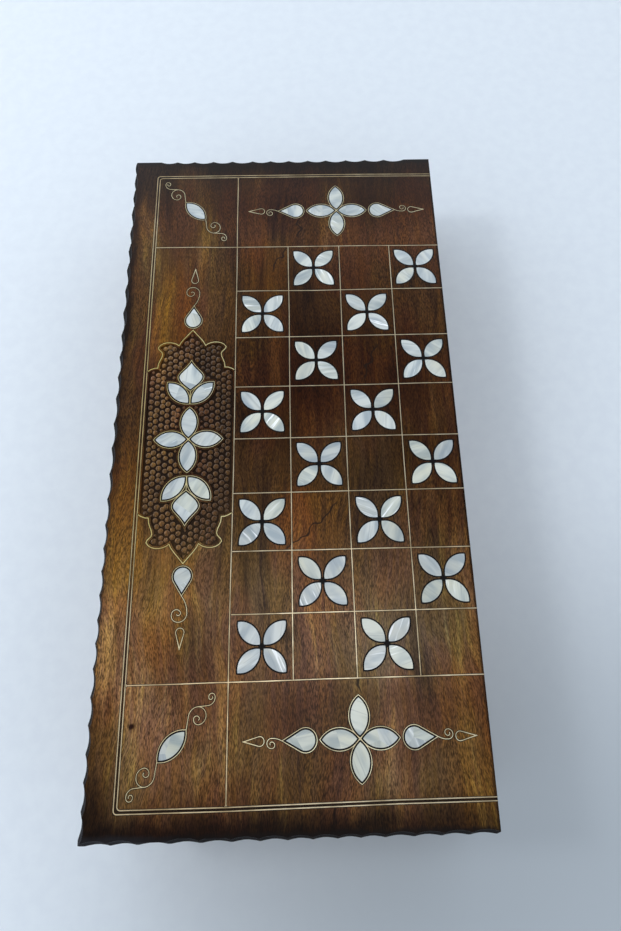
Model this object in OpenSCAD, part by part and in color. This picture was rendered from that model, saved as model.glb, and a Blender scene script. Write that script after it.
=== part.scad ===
// Folding backgammon board: two shallow walnut trays that close face to face on brass butt hinges.
// Each outer plate is inlaid with pearl petals and flat brass wire, and its rim is cut in gouge scoops.
// The origin is the middle of the closed board's underside. The hinge is at +X, the far end is +Y.

/* [Board] */
// Side of one chequer square on the outer plate
square = 40; // [37:1:44]
// From the grid's inner line to the free edge
side_margin = 89.3; // [88:0.1:100]
// From the grid's last line to the near and far edges
end_margin = 89.2; // [88:0.1:100]
// Height of one half, from its outer plate to the parting plane
half_h = 32; // [29:1:42]
// Thickness of the outer plate
plate_t = 9; // [7.5:0.5:10]
// Thickness of the walls
wall_t = 13; // [11:0.5:18]
// How far the outer plate stands past the walls on the three carved sides
overhang = 5; // [5:0.5:8]
// Gap between the two halves at the parting plane
mate_gap = 0.3; // [0.2:0.1:0.6]

/* [Scooped rim] */
// Nominal spacing of the gouge scoops
scoop_pitch = 16.8; // [13:0.1:20]
// Depth of a scoop behind the cusps, at the outer face
scoop_top = 1.8; // [1.2:0.2:3]
// The same at the near end
scoop_top_near = 1.5; // [1:0.1:2.4]
// Depth of a scoop at the inner face of the plate
scoop_low = 0.4; // [0.2:0.2:1.2]
// The same for the scoops of the front edge
scoop_low_front = 1; // [0.2:0.2:1.2]
// How much the hand-cut scoops differ in width, as a share of the measured board
scoop_vary = 1; // [0:0.1:1]
// Radius of the worn corners below the bevel
corner_wear = 2.5; // [1:0.5:4]
// How far the bevel sets the outer face back from the widest outline
rim_set_back = 4; // [2:0.5:5]
// Upright land left below the bevel
rim_land = 1.5; // [0.8:0.1:3]

/* [Inlay] */
// Thickness of pearl, mastic and wire, and depth of their pockets
inlay_t = 1.5; // [1:0.1:2.5]
// Width of the wire as seen on the face
wire_w = 0.6; // [0.5:0.05:0.9]
// Width of the dark mastic between a wire and its pearl
gap_w = 0.9; // [0.4:0.05:1]
// Width of the dark mastic round a petal that has no wire
mastic_w = 1; // [0.5:0.1:1.2]

/* [Square flowers] */
// Length of a pearl petal on a square
petal_l = 19.8; // [16:0.2:20]
// Width of a pearl petal on a square
petal_w = 9.8; // [8:0.2:10.4]
// From the middle of the square to the inner tip of a petal
petal_start = 1.85; // [1.7:0.05:2.4]
// Radius of the mastic in the middle of a flower
heart_r = 2.2; // [1.5:0.1:3]

/* [Border] */
// From the free edge to the outer border wire
border_side = 22.3; // [18:0.1:23]
// From the near and far edges to the outer border wire
border_end = 18.7; // [15:0.1:19.5]
// Distance between the two border wires
border_pair = 2; // [1.6:0.1:3]
// Radius of the bend at the border's two corners
border_r = 2.4; // [1.5:0.1:4]
// How far the hand-laid straight wires stray, as a share of the measured board
stray = 1; // [0:0.1:1]

/* [Wired motifs] */
// Length of a petal of the wired crosses, from the middle to its tip
cross_l = 25; // [23:0.5:26]
// Width of a petal of the wired crosses
cross_w = 13.6; // [12:0.2:14]
// Length of a pearl drop, wire included
drop_l = 20.2; // [18:0.2:20.4]
// Width of a pearl drop, wire included
drop_w = 14; // [12:0.2:14.6]
// Length of a drop on an end cross
end_drop_l = 22.4; // [20:0.2:22.6]
// Width of a drop on an end cross
end_drop_w = 14.6; // [12:0.2:15]
// Length of an empty wire loop
loop_l = 14; // [11:0.1:14.4]
// Width of an empty wire loop
loop_w = 6; // [5:0.1:7]
// Length of an almond, wire included
almond_l = 25; // [22:0.2:26]
// Width of an almond, wire included
almond_w = 12.6; // [10:0.2:13]
// Clear space between one motif and the next
motif_gap = 0.9; // [0.5:0.1:1.4]
// Radius of the main curl of the scrolls in the side panel
side_curl_r = 5.4; // [4.8:0.1:5.8]
// Radius of the main curl of the scrolls in the end panels
end_curl_r = 2.8; // [2.4:0.1:3]
// Radius of the main curl of the scrolls in the corners
corner_curl_r = 5.1; // [4.6:0.1:5.4]

/* [Carved cartouche] */
// From its middle to its pointed end
cartouche_l = 86.8; // [84:0.2:87.4]
// Depth of the carved ground
carve_t = 0.8; // [0.4:0.1:1.2]
// Smooth band left round wires and motifs
carve_band = 1.1; // [0.7:0.1:1.3]

/* [Tray] */
// Thickness of the playing field veneer
field_t = 2.5; // [1.5:0.5:4]
// Height of the end rails above the field
rail_h = 8; // [5:0.5:10]
// Depth of the end rails along the board
rail_d = 14; // [13:0.5:18]
// Radius of the checker bays in the rails
bay_r = 17; // [14:0.5:17.5]
// Depth of a bay into the rail
bay_d = 11; // [8:0.5:11.5]
// Length of a point
point_l = 178; // [150:1:200]
// Width of a point at its base
point_w = 30; // [24:1:32]

/* [Hinges] */
// Length of a hinge
hinge_l = 40; // [30:1:50]
// Length from the near and far edges to the middle of a hinge
hinge_end_l = 90; // [60:1:130]
// Width of a leaf from the pin's axis
leaf_w = 11; // [9.5:0.5:12]
// Thickness of a leaf
leaf_t = 1.2; // [1:0.1:1.5]
// Radius of the knuckles
barrel_r = 2.5; // [2.3:0.1:3]
// Radius of the hinge pin
pin_r = 1.25; // [1:0.05:1.4]
// Length of a leaf screw
leaf_screw_l = 10; // [8:0.5:12]
// Radius of a leaf screw's shank
leaf_screw_r = 1.1; // [0.9:0.1:1.3]

/* [Hooks] */
// Length from the near and far edges to each hook
hook_end_l = 130; // [90:1:180]
// From the hook's pivot to the catch stud
hook_l = 9.5; // [9:0.1:10.5]
// Thickness of the hook plate
hook_t = 1.5; // [1:0.1:1.6]
// Radius of the hook's pivot screw
hook_pin_r = 1.6; // [1.3:0.1:1.8]
// Radius of the catch stud
stud_r = 1.4; // [1.2:0.1:1.5]
// From the parting plane down to the hook's pivot
hook_drop = 4.5; // [4:0.1:4.8]

/* [Hidden] */
// A chequer board is eight squares each way, so one half is four by eight
cols = 4;
rows = 8;
points_across = 6;
knuckles = 5;
$fn = 48;
eps = 0.01;
cut = 1;

// Plan of one half. The panel frame has x = 0 on the grid's inner line and y = 0 at mid length.
grid_w = cols*square;
grid_l = rows*square;
board_w = grid_w + side_margin;
board_l = grid_l + 2*end_margin;
hinge_gap = 0.2;
hinge_x = (board_w + hinge_gap - barrel_r)/2;
face_x = hinge_x - hinge_gap;
panel_x = face_x - grid_w;
wall_top = half_h - mate_gap/2;
wall_h = wall_top - plate_t;

// Walls and the space between them
front_x = face_x - board_w + overhang;
end_y = board_l/2 - overhang;
inside_x0 = front_x + wall_t;
inside_x1 = face_x - wall_t;
inside_w = inside_x1 - inside_x0;
inside_y = end_y - wall_t;
field_z = plate_t + field_t;
point_pitch = inside_w/points_across;

// Border cells of the outer plate
side_w = side_margin - border_side - border_pair;
end_h = end_margin - border_end - border_pair;
side_mid = [-side_w/2, 0];
end_mid = [grid_w/2, grid_l/2 + end_h/2];
corner_shift = [-2, 1.2];
corner_mid = [-side_w/2, grid_l/2 + end_h/2] + corner_shift;
corner_angle = 46;

// Rim scoops: each is a round gouge stroke that leans outward as it goes down
top_l = board_l - 2*rim_set_back;
top_w = board_w - rim_set_back;
scoops_l = round(top_l/scoop_pitch);
scoops_w = round(top_w/scoop_pitch);
scoop_lap = 1.02;
// Widths of the scoops beside the mean one, from far to near and from the front to the hinge
front_scoops = [
    -0.24, -0.03, -0.05, 0.16, -0.03, 0.06, 0.14, 0.16, 0.18, 0.05, -0.02, 0, 0.21, 0.09, 0.15,
    0.07, 0.08, -0.07, -0.09, -0.07, -0.06, -0.15, -0.1, 0.01, -0.05, -0.04, -0.1, -0.07, -0.2
];
far_scoops = [
    0.25, -0.18, -0.13, -0.03, -0.03, 0.03, -0.07, -0.07, -0.02, -0.07, 0.03, -0.02, -0.02, 0.03, 0.3
];
near_scoops = [
    -0.04, -0.05, 0.19, 0.12, 0.13, 0.01, 0.02, -0.1, -0.09, -0.17, -0.13, 0.09, -0.02, 0.01, 0.03
];

// Hinge fits
pin_clear = 0.04;
knuckle_gap = 0.3;
leaf_drop = 0.25;
barrel_room = 0.4;
leaf_room = 0.1;
screw_head_r = 2.1;
screw_head_t = 1;
screw_spread = 0.33;
pin_head_r = 1.9;
pin_head_t = 0.6;

// Hook fits
hook_clear = 0.05;
hook_off = 0.3;
head_off = 0.15;
eye_r = 3.1;
hook_arm_w = 3.2;
hook_end_r = 3.3;
notch_clear = 0.15;
notch_seat = 0.1;
hook_head_r = 3;
hook_head_t = 1.1;
stud_head_r = 2.4;
stud_head_t = 0.9;
hook_bite = 8;
slot_w = 0.7;
slot_t = 0.5;

walnut = [0.36, 0.22, 0.13];
walnut_dark = [0.27, 0.16, 0.10];
maple = [0.80, 0.64, 0.42];
ebony = [0.13, 0.09, 0.07];
pearl = [0.85, 0.88, 0.90];
mastic = [0.10, 0.09, 0.08];
wire = [0.80, 0.70, 0.48];
brass = [0.78, 0.62, 0.30];

// Curves

function unit(v) = v/norm(v);
function left_of(v) = [-v[1], v[0]];

// Points of a cubic curve after its first point
function bend(a, b, c, d, n = 7) =
    [for (i = [1:n]) let (t = i/n, s = 1 - t) s*s*s*a + 3*s*s*t*b + 3*s*t*t*c + t*t*t*d];

// A wire bent by hand is a chain of arcs: each is [radius, turn], and a negative radius turns right
function turn_step(r) = abs(r) > 5*wire_w ? 12 : 24;
function arcs_of(r, arcs) = [for (a = arcs) [r*a[0], a[1]]];
function arc_points(p, h, r, turn) =
    let (c = p + r*[-sin(h), cos(h)], n = ceil(turn/turn_step(r)))
    [for (i = [1:n]) let (a = h + sign(r)*turn*i/n) c + r*[sin(a), -cos(a)]];
function bent(p, h, arcs, k = 0) =
    k == len(arcs) ? [] :
    let (r = arcs[k][0], turn = arcs[k][1], arc = arc_points(p, h, r, turn))
    concat(arc, bent(arc[len(arc) - 1], h + sign(r)*turn, arcs, k + 1));

// Where an outline's corner goes when its sides move by d, from the corner's two directions
function mitre(d1, d2, d) =
    let (n1 = left_of(d1), n2 = left_of(d2)) d*(n1 + n2)/(1 + n1*n2);

// A closed outline, drawn anticlockwise, with its sides moved in by d
function inset(pts, d) =
    let (n = len(pts))
    [for (i = [0:n - 1])
        pts[i] + mitre(unit(pts[i] - pts[(i + n - 1)%n]), unit(pts[(i + 1)%n] - pts[i]), d)];

// One side of a strip along an open path
function edge(pts, d) =
    let (n = len(pts))
    [for (i = [0:n - 1])
        let (a = i > 0 ? unit(pts[i] - pts[i - 1]) : unit(pts[1] - pts[0]),
             b = i < n - 1 ? unit(pts[i + 1] - pts[i]) : a)
        pts[i] + mitre(a, b, d)];
function reversed(pts) = [for (i = [len(pts) - 1:-1:0]) pts[i]];
function flipped(pts) = [for (p = pts) [-p[0], p[1]]];

module strip(pts) {
    polygon(concat(edge(pts, wire_w/2), reversed(edge(pts, -wire_w/2))));
}

// Flat shapes of the inlay, all with their long axis along X and in by d

// A petal: two equal arcs that meet in points, starting at x = 0
module petal(l, w, d = 0) {
    r = (l*l/4 + w*w/4)/w;
    intersection() {
        translate([l/2, r - w/2]) circle(r - d);
        translate([l/2, w/2 - r]) circle(r - d);
    }
}

// A drop: a round end at x = 0 and straight sides to a point at x = l
module drop(l, w, d = 0) {
    r = w/2;
    tip = (l - r)*(r - d)/r;
    open = acos(r/(l - r));
    n = 16;
    translate([r, 0])
        polygon(concat([[tip, 0]],
            [for (i = [0:n]) let (a = open + (360 - 2*open)*i/n) (r - d)*[cos(a), sin(a)]]));
}

// The side of the panel frame's first quadrant between two diagonals through the middle
module quarter(d = 0) {
    reach = 2*cross_l;
    translate([d*sqrt(2), 0]) polygon([[0, 0], [reach, -reach], [reach, reach]]);
}

// Wired cross of four petals

module cross_outer(d = 0) {
    for (a = [0:90:270]) rotate(a) petal(cross_l, cross_w, d);
}

module cross_windows() {
    for (a = [0:90:270]) rotate(a) intersection() {
        petal(cross_l, cross_w, wire_w);
        quarter(wire_w/2);
    }
}

module cross_pearls() {
    for (a = [0:90:270]) rotate(a) petal(cross_l, cross_w, wire_w + gap_w);
}

// Lotus: an ogee petal held by two almonds. Its stem starts at y = 0 and it points along +Y.

lotus_stem = 9.9;
lotus_h = 25.8;
lotus_w = 19.8;
lotus_side = [
    for (p = [[0, 0], [0.455, 0.14], [1, 0.295], [1, 0.4535], [1, 0.6085], [0.364, 0.721], [0, 1]])
    [p[0]*lotus_w/2, p[1]*lotus_h]
];
lotus_right = concat(
    bend(lotus_side[0], lotus_side[1], lotus_side[2], lotus_side[3]),
    bend(lotus_side[3], lotus_side[4], lotus_side[5], lotus_side[6])
);
lotus_outline = [
    for (p = concat([lotus_side[0]], lotus_right,
        [for (i = [len(lotus_right) - 2:-1:0]) [-lotus_right[i][0], lotus_right[i][1]]]))
    p + [0, lotus_stem]
];
lotus_lean = 44;

module lotus_almond(d = 0) {
    rotate(90 - lotus_lean) petal(almond_l, almond_w, d);
}

module both_sides() {
    children();
    mirror([1, 0]) children();
}

module lotus_outer(grow = 0) {
    polygon(inset(lotus_outline, -grow));
    both_sides() lotus_almond(-grow);
    translate([-wire_w/2 - grow, 0]) square([wire_w + 2*grow, lotus_stem + wire_w]);
}

module right_half(x) {
    translate([x, -almond_l]) square([2*almond_l, 4*almond_l]);
}

module lotus_windows() {
    polygon(inset(lotus_outline, wire_w));
    both_sides() difference() {
        intersection() {
            lotus_almond(wire_w);
            right_half(wire_w/2);
        }
        polygon(lotus_outline);
    }
}

module lotus_pearls() {
    polygon(inset(lotus_outline, wire_w + gap_w));
    both_sides() difference() {
        intersection() {
            lotus_almond(wire_w + gap_w);
            right_half(wire_w/2 + gap_w);
        }
        polygon(inset(lotus_outline, -gap_w));
    }
}

// Scrolls of bent wire, each from its own start

side_scroll = concat([[0, 0]], bent([0, 0], 50,
    arcs_of(side_curl_r, [[3.15, 40], [1, 110], [0.78, 100], [0.555, 120], [0.28, 130], [0.165, 80]])));
end_scroll = concat([[0, 0]], bent([0, 0], -30, arcs_of(end_curl_r, [[4.1, 34], [1, 190], [0.64, 180], [0.355, 130]])));
stem_start = 84;
stem_turns = [4, 78];
stem_end_heading = stem_start - stem_turns[0] - stem_turns[1];
stem = concat([[0, 0]], bent([0, 0], stem_start, arcs_of(corner_curl_r, [[-21.6, stem_turns[0]], [-1.215, stem_turns[1]]])));
shoulder = stem[len(stem) - 1];
stem_scroll = concat(stem, bent(shoulder, stem_end_heading,
    arcs_of(corner_curl_r, [[11.8, 6], [0.9, 90], [0.39, 200], [0.235, 150], [0.157, 50]])));
shoulder_scroll = concat([shoulder], bent(shoulder, stem_end_heading - 4,
    arcs_of(corner_curl_r, [[-1, 165], [-0.59, 110], [-0.353, 150], [-0.196, 100]])));

// Places of the motifs on the panel. Every module draws its children at each place.

lotus_y = 26.6;
drop_y = cartouche_l + wire_w/2 + motif_gap;
loop_y = 127.2;
drop_x = cross_l + motif_gap;
loop_x = 58.2;

module at_side() {
    translate(side_mid) children();
}

module at_ends() {
    for (s = [-1, 1]) translate([end_mid[0], s*end_mid[1]]) children();
}

module at_side_ends() {
    at_side() for (flip = [0, 1]) mirror([0, flip]) children();
}

module at_end_tips() {
    at_ends() for (a = [0, 180]) rotate(a) children();
}

module at_corners() {
    for (flip = [0, 1]) mirror([0, flip]) translate(corner_mid) rotate(180 - corner_angle) children();
}

// Outer outlines of all wired pearl, grown by g
module wired_outer(g = 0) {
    at_side() cross_outer(-g);
    at_ends() cross_outer(-g);
    at_side_ends() translate([0, lotus_y]) lotus_outer(g);
    at_side_ends() translate([0, drop_y]) rotate(90) drop(drop_l, drop_w, -g);
    at_end_tips() translate([drop_x, 0]) drop(end_drop_l, end_drop_w, -g);
    at_corners() translate([-almond_l/2, 0]) petal(almond_l, almond_w, -g);
}

module wired_windows() {
    at_side() cross_windows();
    at_ends() cross_windows();
    at_side_ends() translate([0, lotus_y]) lotus_windows();
    at_side_ends() translate([0, drop_y]) rotate(90) drop(drop_l, drop_w, wire_w);
    at_end_tips() translate([drop_x, 0]) drop(end_drop_l, end_drop_w, wire_w);
    at_corners() translate([-almond_l/2, 0]) petal(almond_l, almond_w, wire_w);
}

module wired_pearls() {
    d = wire_w + gap_w;
    at_side() cross_pearls();
    at_ends() cross_pearls();
    at_side_ends() translate([0, lotus_y]) lotus_pearls();
    at_side_ends() translate([0, drop_y]) rotate(90) drop(drop_l, drop_w, d);
    at_end_tips() translate([drop_x, 0]) drop(end_drop_l, end_drop_w, d);
    at_corners() translate([-almond_l/2, 0]) petal(almond_l, almond_w, d);
}

module wire_loop() {
    difference() {
        drop(loop_l, loop_w);
        drop(loop_l, loop_w, wire_w);
    }
}

module scrolls() {
    at_side_ends() translate([0, drop_y + drop_l - wire_w]) strip(side_scroll);
    at_side_ends() translate([0, loop_y]) rotate(90) wire_loop();
    at_end_tips() translate([drop_x + end_drop_l - wire_w, 0]) strip(end_scroll);
    at_end_tips() translate([loop_x, 0]) wire_loop();
    for (flip = [0, 1]) mirror([0, flip]) translate(corner_mid) for (turn = [0, 180]) rotate(turn)
        translate((almond_l - wire_w)/2*[cos(180 - corner_angle), sin(180 - corner_angle)]) mirror([1, 0]) {
            strip(stem_scroll);
            strip(shoulder_scroll);
        }
}

// Cartouche: one quarter of its outline, from the pointed end to the side wires

function part_of(u, v) = [u*side_w/2, v*cartouche_l];
notch_in = part_of(0.3046, 0.8502);
lobe_out = part_of(0.7785, 0.8353);
waist = part_of(0.6708, 0.7696);
notch_low = part_of(0.7631, 0.6429);
meet = part_of(1, 0.6106);
cartouche_quarter = concat(
    [[0, cartouche_l]],
    bend([0, cartouche_l], part_of(0.1385, 0.9355), part_of(0.2646, 0.8929), notch_in, 4),
    bend(notch_in, part_of(0.4, 0.8894), part_of(0.6923, 0.9009), lobe_out),
    bend(lobe_out, part_of(0.7754, 0.8065), part_of(0.6708, 0.8007), waist, 4),
    bend(waist, part_of(0.6708, 0.7316), part_of(0.7662, 0.7028), notch_low, 4),
    bend(notch_low, part_of(0.8308, 0.6475), part_of(0.9231, 0.6313), meet, 3)
);
cartouche_top = concat(
    reversed(cartouche_quarter),
    [for (i = [1:len(cartouche_quarter) - 1]) [-cartouche_quarter[i][0], cartouche_quarter[i][1]]]
);
cartouche_outline = concat(cartouche_top, [for (p = cartouche_top) [-p[0], -p[1]]]);

// The strips end in the middle of the divider
module cartouche_strips() {
    intersection() {
        at_side_ends() strip(cartouche_top);
        bar(-2*side_w, -grid_l/2, 0, grid_l/2);
    }
}

module carved_ground() {
    difference() {
        at_side() polygon(inset(cartouche_outline, wire_w/2 + carve_band));
        wired_outer(carve_band);
    }
}

// Straight wires

module bar(x0, y0, x1, y1) {
    translate([x0, y0]) square([x1 - x0, y1 - y0]);
}

// Shifts of the hand-laid wires from their true lines in mm, as measured on the board:
// of the border's near and far runs at the corner, the divider, 2.5 squares and the hinge edge,
near_run = [-0.2, -0.2, 1.05, 1.15];
far_run = [0.05, 0.05, -0.1, -0.7];
// of the divider in the far end panel, beside each row and in the near end panel,
divider_run = [-0.3, -0.4, -0.03, -0.12, -0.06, 0, -0.03, -0.27, -0.7, -0.9, -0.95, -0.95];
// of the upright wires inside the grid beside each row,
upright_run = [
    [0.18, 0.4, 0.11, 0.06, 0.1, 0.07, -0.18, -0.23],
    [0.6, 0.34, 0.14, -0.07, -0.32, -0.19, 0, 0.08],
    [0.55, 0.4, 0.14, -0.1, -0.28, -0.17, 0, 0]
];
// of the cross wires in each column, and of the two that go on through the side panel
cross_run = [
    [0.02, -0.06, -0.04, -0.53], [0, -0.45, -0.07, 0.1], [-0.28, -0.18, -0.04, 0.12],
    [-0.55, -0.5, -0.36, 0.04], [-0.53, -0.32, -0.05, 0], [-0.06, 0.08, 0.19, 0.34],
    [0.35, 0.28, 0.37, 0.25], [-0.08, 0.07, 0.19, 0.35], [-0.47, 0, 0.1, 0.29]
];
panel_run = [[0.85, 0.75, 0.17], [-0.86, -0.8, -0.52]];

// A strip along the border's line that reaches to x1, with its two corners rounded to radius r
module border_shape(x0, x1, y1, r) {
    at = [x0 + r, 0, 2.5*square, x1];
    near = [for (i = [0:3]) [at[i], stray*near_run[i] - y1]];
    far = [for (i = [3:-1:0]) [at[i], y1 + stray*far_run[i]]];
    polygon(concat([near[0] + [-r, r]], near, far, [far[3] - [r, r]]));
    for (p = [near[0] + [0, r], far[3] - [0, r]]) translate(p) circle(r);
}

module border_line(x0, y1) {
    difference() {
        border_shape(x0, grid_w, y1, border_r);
        border_shape(x0 + wire_w, grid_w + cut, y1 - wire_w, border_r - wire_w);
    }
}

splay = 1.8*wire_w;
border_x = -side_w - border_pair - wire_w/2;
border_y = grid_l/2 + end_h + border_pair + wire_w/2;

module border_lines() {
    border_line(border_x, border_y);
    border_line(border_x + border_pair, border_y - border_pair);
}

// Where a straight wire meets the border it is bent a little both ways
module splayed_end() {
    polygon([[0, -wire_w/2 - splay], [splay + eps, 0], [0, wire_w/2 + splay]]);
}

// The bend of the wires where two of them cross
module knot() {
    rotate(45) square(1.9*wire_w, center = true);
}

// A wire along X, or along Y when up is 1, through the points [place, shift]
module strayed(points, up, true_line) {
    sides = up == 1 ? [1, -1] : [-1, 1];
    edge = [for (s = sides) [for (p = points) [p[0], true_line + stray*p[1] + s*wire_w/2]]];
    loop = concat(edge[0], [for (i = [len(points) - 1:-1:0]) edge[1][i]]);
    polygon([for (p = loop) up == 1 ? [p[1], p[0]] : p]);
}

// Shifts at the middles of the squares, and their means at the wires between them
function with_means(start, run) = [for (i = [0:2*len(run) - 2])
    [start + i*square/2, i%2 == 0 ? run[i/2] : (run[(i - 1)/2] + run[(i + 1)/2])/2]];

module grid_lines() {
    wire_in = border_x + border_pair + wire_w - eps;
    reach = border_y - border_pair - wire_w + eps;
    top = grid_l/2;
    for (r = [0:rows]) {
        side = panel_run[r == 0 ? 0 : 1];
        run = cross_run[r%len(cross_run)];
        start = r == 0 || r == rows
            ? [[wire_in, side[0]], [-0.5*side_w, side[1]], [-0.2*side_w, side[2]]]
            : [[0, run[0]]];
        strayed(concat(start, with_means(square/2, run), [[grid_w, run[3]]]), 0, top - r*square);
    }
    for (c = [1:cols - 1]) {
        run = [for (r = [rows - 1:-1:0]) upright_run[c - 1][r]];
        strayed(concat([[-top, run[0]]], with_means(square/2 - top, run), [[top, run[rows - 1]]]), 1, c*square);
    }
    d = divider_run;
    strayed(concat(
        [[stray*near_run[1] - reach, d[11]], [-top - 0.7*end_h, d[11]], [-top - 0.3*end_h, d[10]]],
        with_means(square/2 - top, [for (r = [9:-1:2]) d[r]]),
        [[top + 0.3*end_h, d[1]], [top + 0.7*end_h, d[0]], [reach + stray*far_run[1], d[0]]]
    ), 1, 0);
    for (r = [1:rows - 1], c = [1:cols - 1])
        translate([
            c*square + stray*(upright_run[c - 1][r - 1] + upright_run[c - 1][r])/2,
            top - r*square + stray*(cross_run[r][c - 1] + cross_run[r][c])/2
        ]) knot();
    for (s = [0, 1]) {
        translate([wire_in, (s == 0 ? top : -top) + stray*panel_run[s][0]]) splayed_end();
        translate([stray*d[s == 0 ? 0 : 11], s == 0 ? reach + stray*far_run[1] : stray*near_run[1] - reach])
            rotate(s == 0 ? -90 : 90) splayed_end();
    }
}

// Flowers of four petals on every other square; odd is 1 on the lid and 0 on the base,
// so that the opened board shows one true chequer board

module at_squares(odd) {
    for (r = [0:rows - 1], c = [0:cols - 1])
        if ((r + c)%2 == odd) translate([(c + 0.5)*square, grid_l/2 - (r + 0.5)*square]) children();
}

module at_flowers(odd) {
    at_squares(odd) for (a = [45:90:315]) rotate(a) translate([petal_start, 0]) children();
}

module flower_pockets(odd) {
    at_flowers(odd) petal(petal_l, petal_w, -mastic_w);
    at_squares(odd) circle(heart_r);
}

module inlay(t = inlay_t) {
    translate([panel_x, 0, 2*half_h - t]) linear_extrude(t) children();
}

module inlay_pocket(t = inlay_t) {
    translate([panel_x, 0, 2*half_h - t]) linear_extrude(t + cut) children();
}

// Everything below is drawn as the lid. The base is its mirror image in the parting plane.
module as_base() {
    translate([0, 0, 2*half_h]) mirror([0, 0, 1]) children();
}

// Outer plate

// The outer face is set back above a bevel and an upright land, except at the hinge edge
module plate_blank() {
    low = 2*half_h - plate_t;
    land = low + rim_land;
    top = 2*half_h;
    intersection() {
        translate([face_x - board_w, board_l/2, 0]) rotate([90, 0, 0]) linear_extrude(board_l)
            polygon([[0, low], [0, land], [rim_set_back, top], [board_w, top], [board_w, low]]);
        translate([face_x - board_w, -board_l/2, 0]) rotate([90, 0, 90]) linear_extrude(board_w)
            polygon([
                [0, low], [0, land], [rim_set_back, top],
                [board_l - rim_set_back, top], [board_l, land], [board_l, low]
            ]);
        translate([face_x, 0, low - cut]) linear_extrude(plate_t + 2*cut) worn_outline();
    }
}

// The whole face, rounded at its two free corners and reaching past the hinge edge
module worn_outline() {
    y = board_l/2;
    bar(-board_w, corner_wear - y, cut, y - corner_wear);
    bar(corner_wear - board_w, -y, cut, y);
    for (s = [-1, 1]) translate([corner_wear - board_w, s*(y - corner_wear)]) circle(corner_wear);
}

// One gouge stroke, for an edge that runs along X with the board on its +Y side
module scoop(pitch, deep, low) {
    lean = atan((rim_set_back + deep - low)/plate_t);
    c = cos(lean);
    half = scoop_lap*pitch/2;
    r = (pow(deep*c, 2) + half*half)/(2*deep*c);
    translate([0, rim_set_back + deep - r/c, 2*half_h]) rotate([-lean, 0, 0])
        cylinder(h = 4*plate_t, r = r, center = true);
}

// Widths of n scoops that fill a length, and the sum of the first i of them
function widths(n, length, vary) =
    let (w = [for (i = [0:n - 1]) 1 + scoop_vary*vary[i%len(vary)]]) w*length/sum_of(w, n);
function sum_of(w, i) = i == 0 ? 0 : w[i - 1] + sum_of(w, i - 1);

// A row of n scoops along X from 0 to length, a wide one cut a little deeper
module scoop_row(n, length, vary, low, deep) {
    w = widths(n, length, vary);
    for (i = [0:n - 1]) translate([sum_of(w, i) + w[i]/2, 0, 0])
        scoop(w[i], deep*w[i]*n/length, low);
}

module scoops() {
    free_x = face_x - board_w;
    translate([free_x, top_l/2, 0]) rotate(-90) scoop_row(scoops_l, top_l, front_scoops, scoop_low_front, scoop_top);
    translate([face_x - top_w, -board_l/2, 0]) scoop_row(scoops_w, top_w, near_scoops, scoop_low, scoop_top_near);
    translate([face_x - top_w, board_l/2, 0]) mirror([0, 1, 0]) scoop_row(scoops_w, top_w, far_scoops, scoop_low, scoop_top);
}

module plate(odd) {
    color(walnut) difference() {
        difference() {
            plate_blank();
            scoops();
        }
        inlay_pocket() flower_pockets(odd);
        inlay_pocket() wired_outer();
        inlay_pocket() scrolls();
        inlay_pocket() {
            border_lines();
            grid_lines();
            cartouche_strips();
        }
        inlay_pocket(carve_t) carved_ground();
    }
}

// Inlay

module square_pearl(odd) {
    color(pearl) inlay() at_flowers(odd) petal(petal_l, petal_w);
}

module motif_pearl() {
    color(pearl) inlay() wired_pearls();
}

module mastic_fill(odd) {
    color(mastic) {
        inlay() difference() {
            flower_pockets(odd);
            at_flowers(odd) petal(petal_l, petal_w);
        }
        inlay() difference() {
            wired_windows();
            wired_pearls();
        }
    }
}

module motif_wire() {
    color(wire) {
        inlay() difference() {
            wired_outer();
            wired_windows();
        }
        inlay() scrolls();
    }
}

module border_wire() {
    color(wire) inlay() border_lines();
}

module grid_wire() {
    color(wire) inlay() grid_lines();
}

module cartouche_wire() {
    color(wire) inlay() difference() {
        cartouche_strips();
        border_lines();
        grid_lines();
    }
}

// Walls, drawn for the lid with their free edge at the parting plane

module wall(x0, y0, x1, y1) {
    translate([x0, y0, 2*half_h - wall_top]) cube([x1 - x0, y1 - y0, wall_h]);
}

module front_wall() {
    wall(front_x, -end_y, inside_x0, end_y);
}

module end_wall(s) {
    mirror([0, s < 0 ? 1 : 0, 0]) wall(inside_x0, inside_y, inside_x1, end_y);
}

module at_hinges() {
    for (s = [-1, 1]) translate([hinge_x, s*(board_l/2 - hinge_end_l), half_h]) children();
}

module at_leaf_screws() {
    at_hinges() for (i = [-1:1]) translate([-(leaf_w + barrel_r)/2, i*screw_spread*hinge_l, leaf_drop]) children();
}

module hinge_wall() {
    difference() {
        wall(inside_x1, -end_y, face_x, end_y);
        at_hinges() {
            translate([-leaf_w - leaf_room, -hinge_l/2 - leaf_room, -cut])
                cube([leaf_w + leaf_room + cut, hinge_l + 2*leaf_room, leaf_drop + leaf_t + cut]);
            rotate([90, 0, 0]) cylinder(h = hinge_l + 2*(pin_head_t + barrel_room), r = barrel_r + barrel_room, center = true);
        }
        at_leaf_screws() cylinder(h = leaf_screw_l, r = leaf_screw_r);
    }
}

// Tray lining

module point(i, s) {
    x = inside_x0 + (i + 0.5)*point_pitch;
    base = inside_y - rail_d;
    polygon([[x - point_w/2, s*base], [x + point_w/2, s*base], [x, s*(base - point_l)]]);
}

// Points of one colour: far and near points that face each other differ
module points_of(dark) {
    for (i = [0:points_across - 1], s = [0, 1])
        if ((i + s)%2 == dark) point(i, 1 - 2*s);
}

module lining() {
    translate([0, 0, 2*half_h - field_z]) linear_extrude(field_t) children();
}

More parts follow.
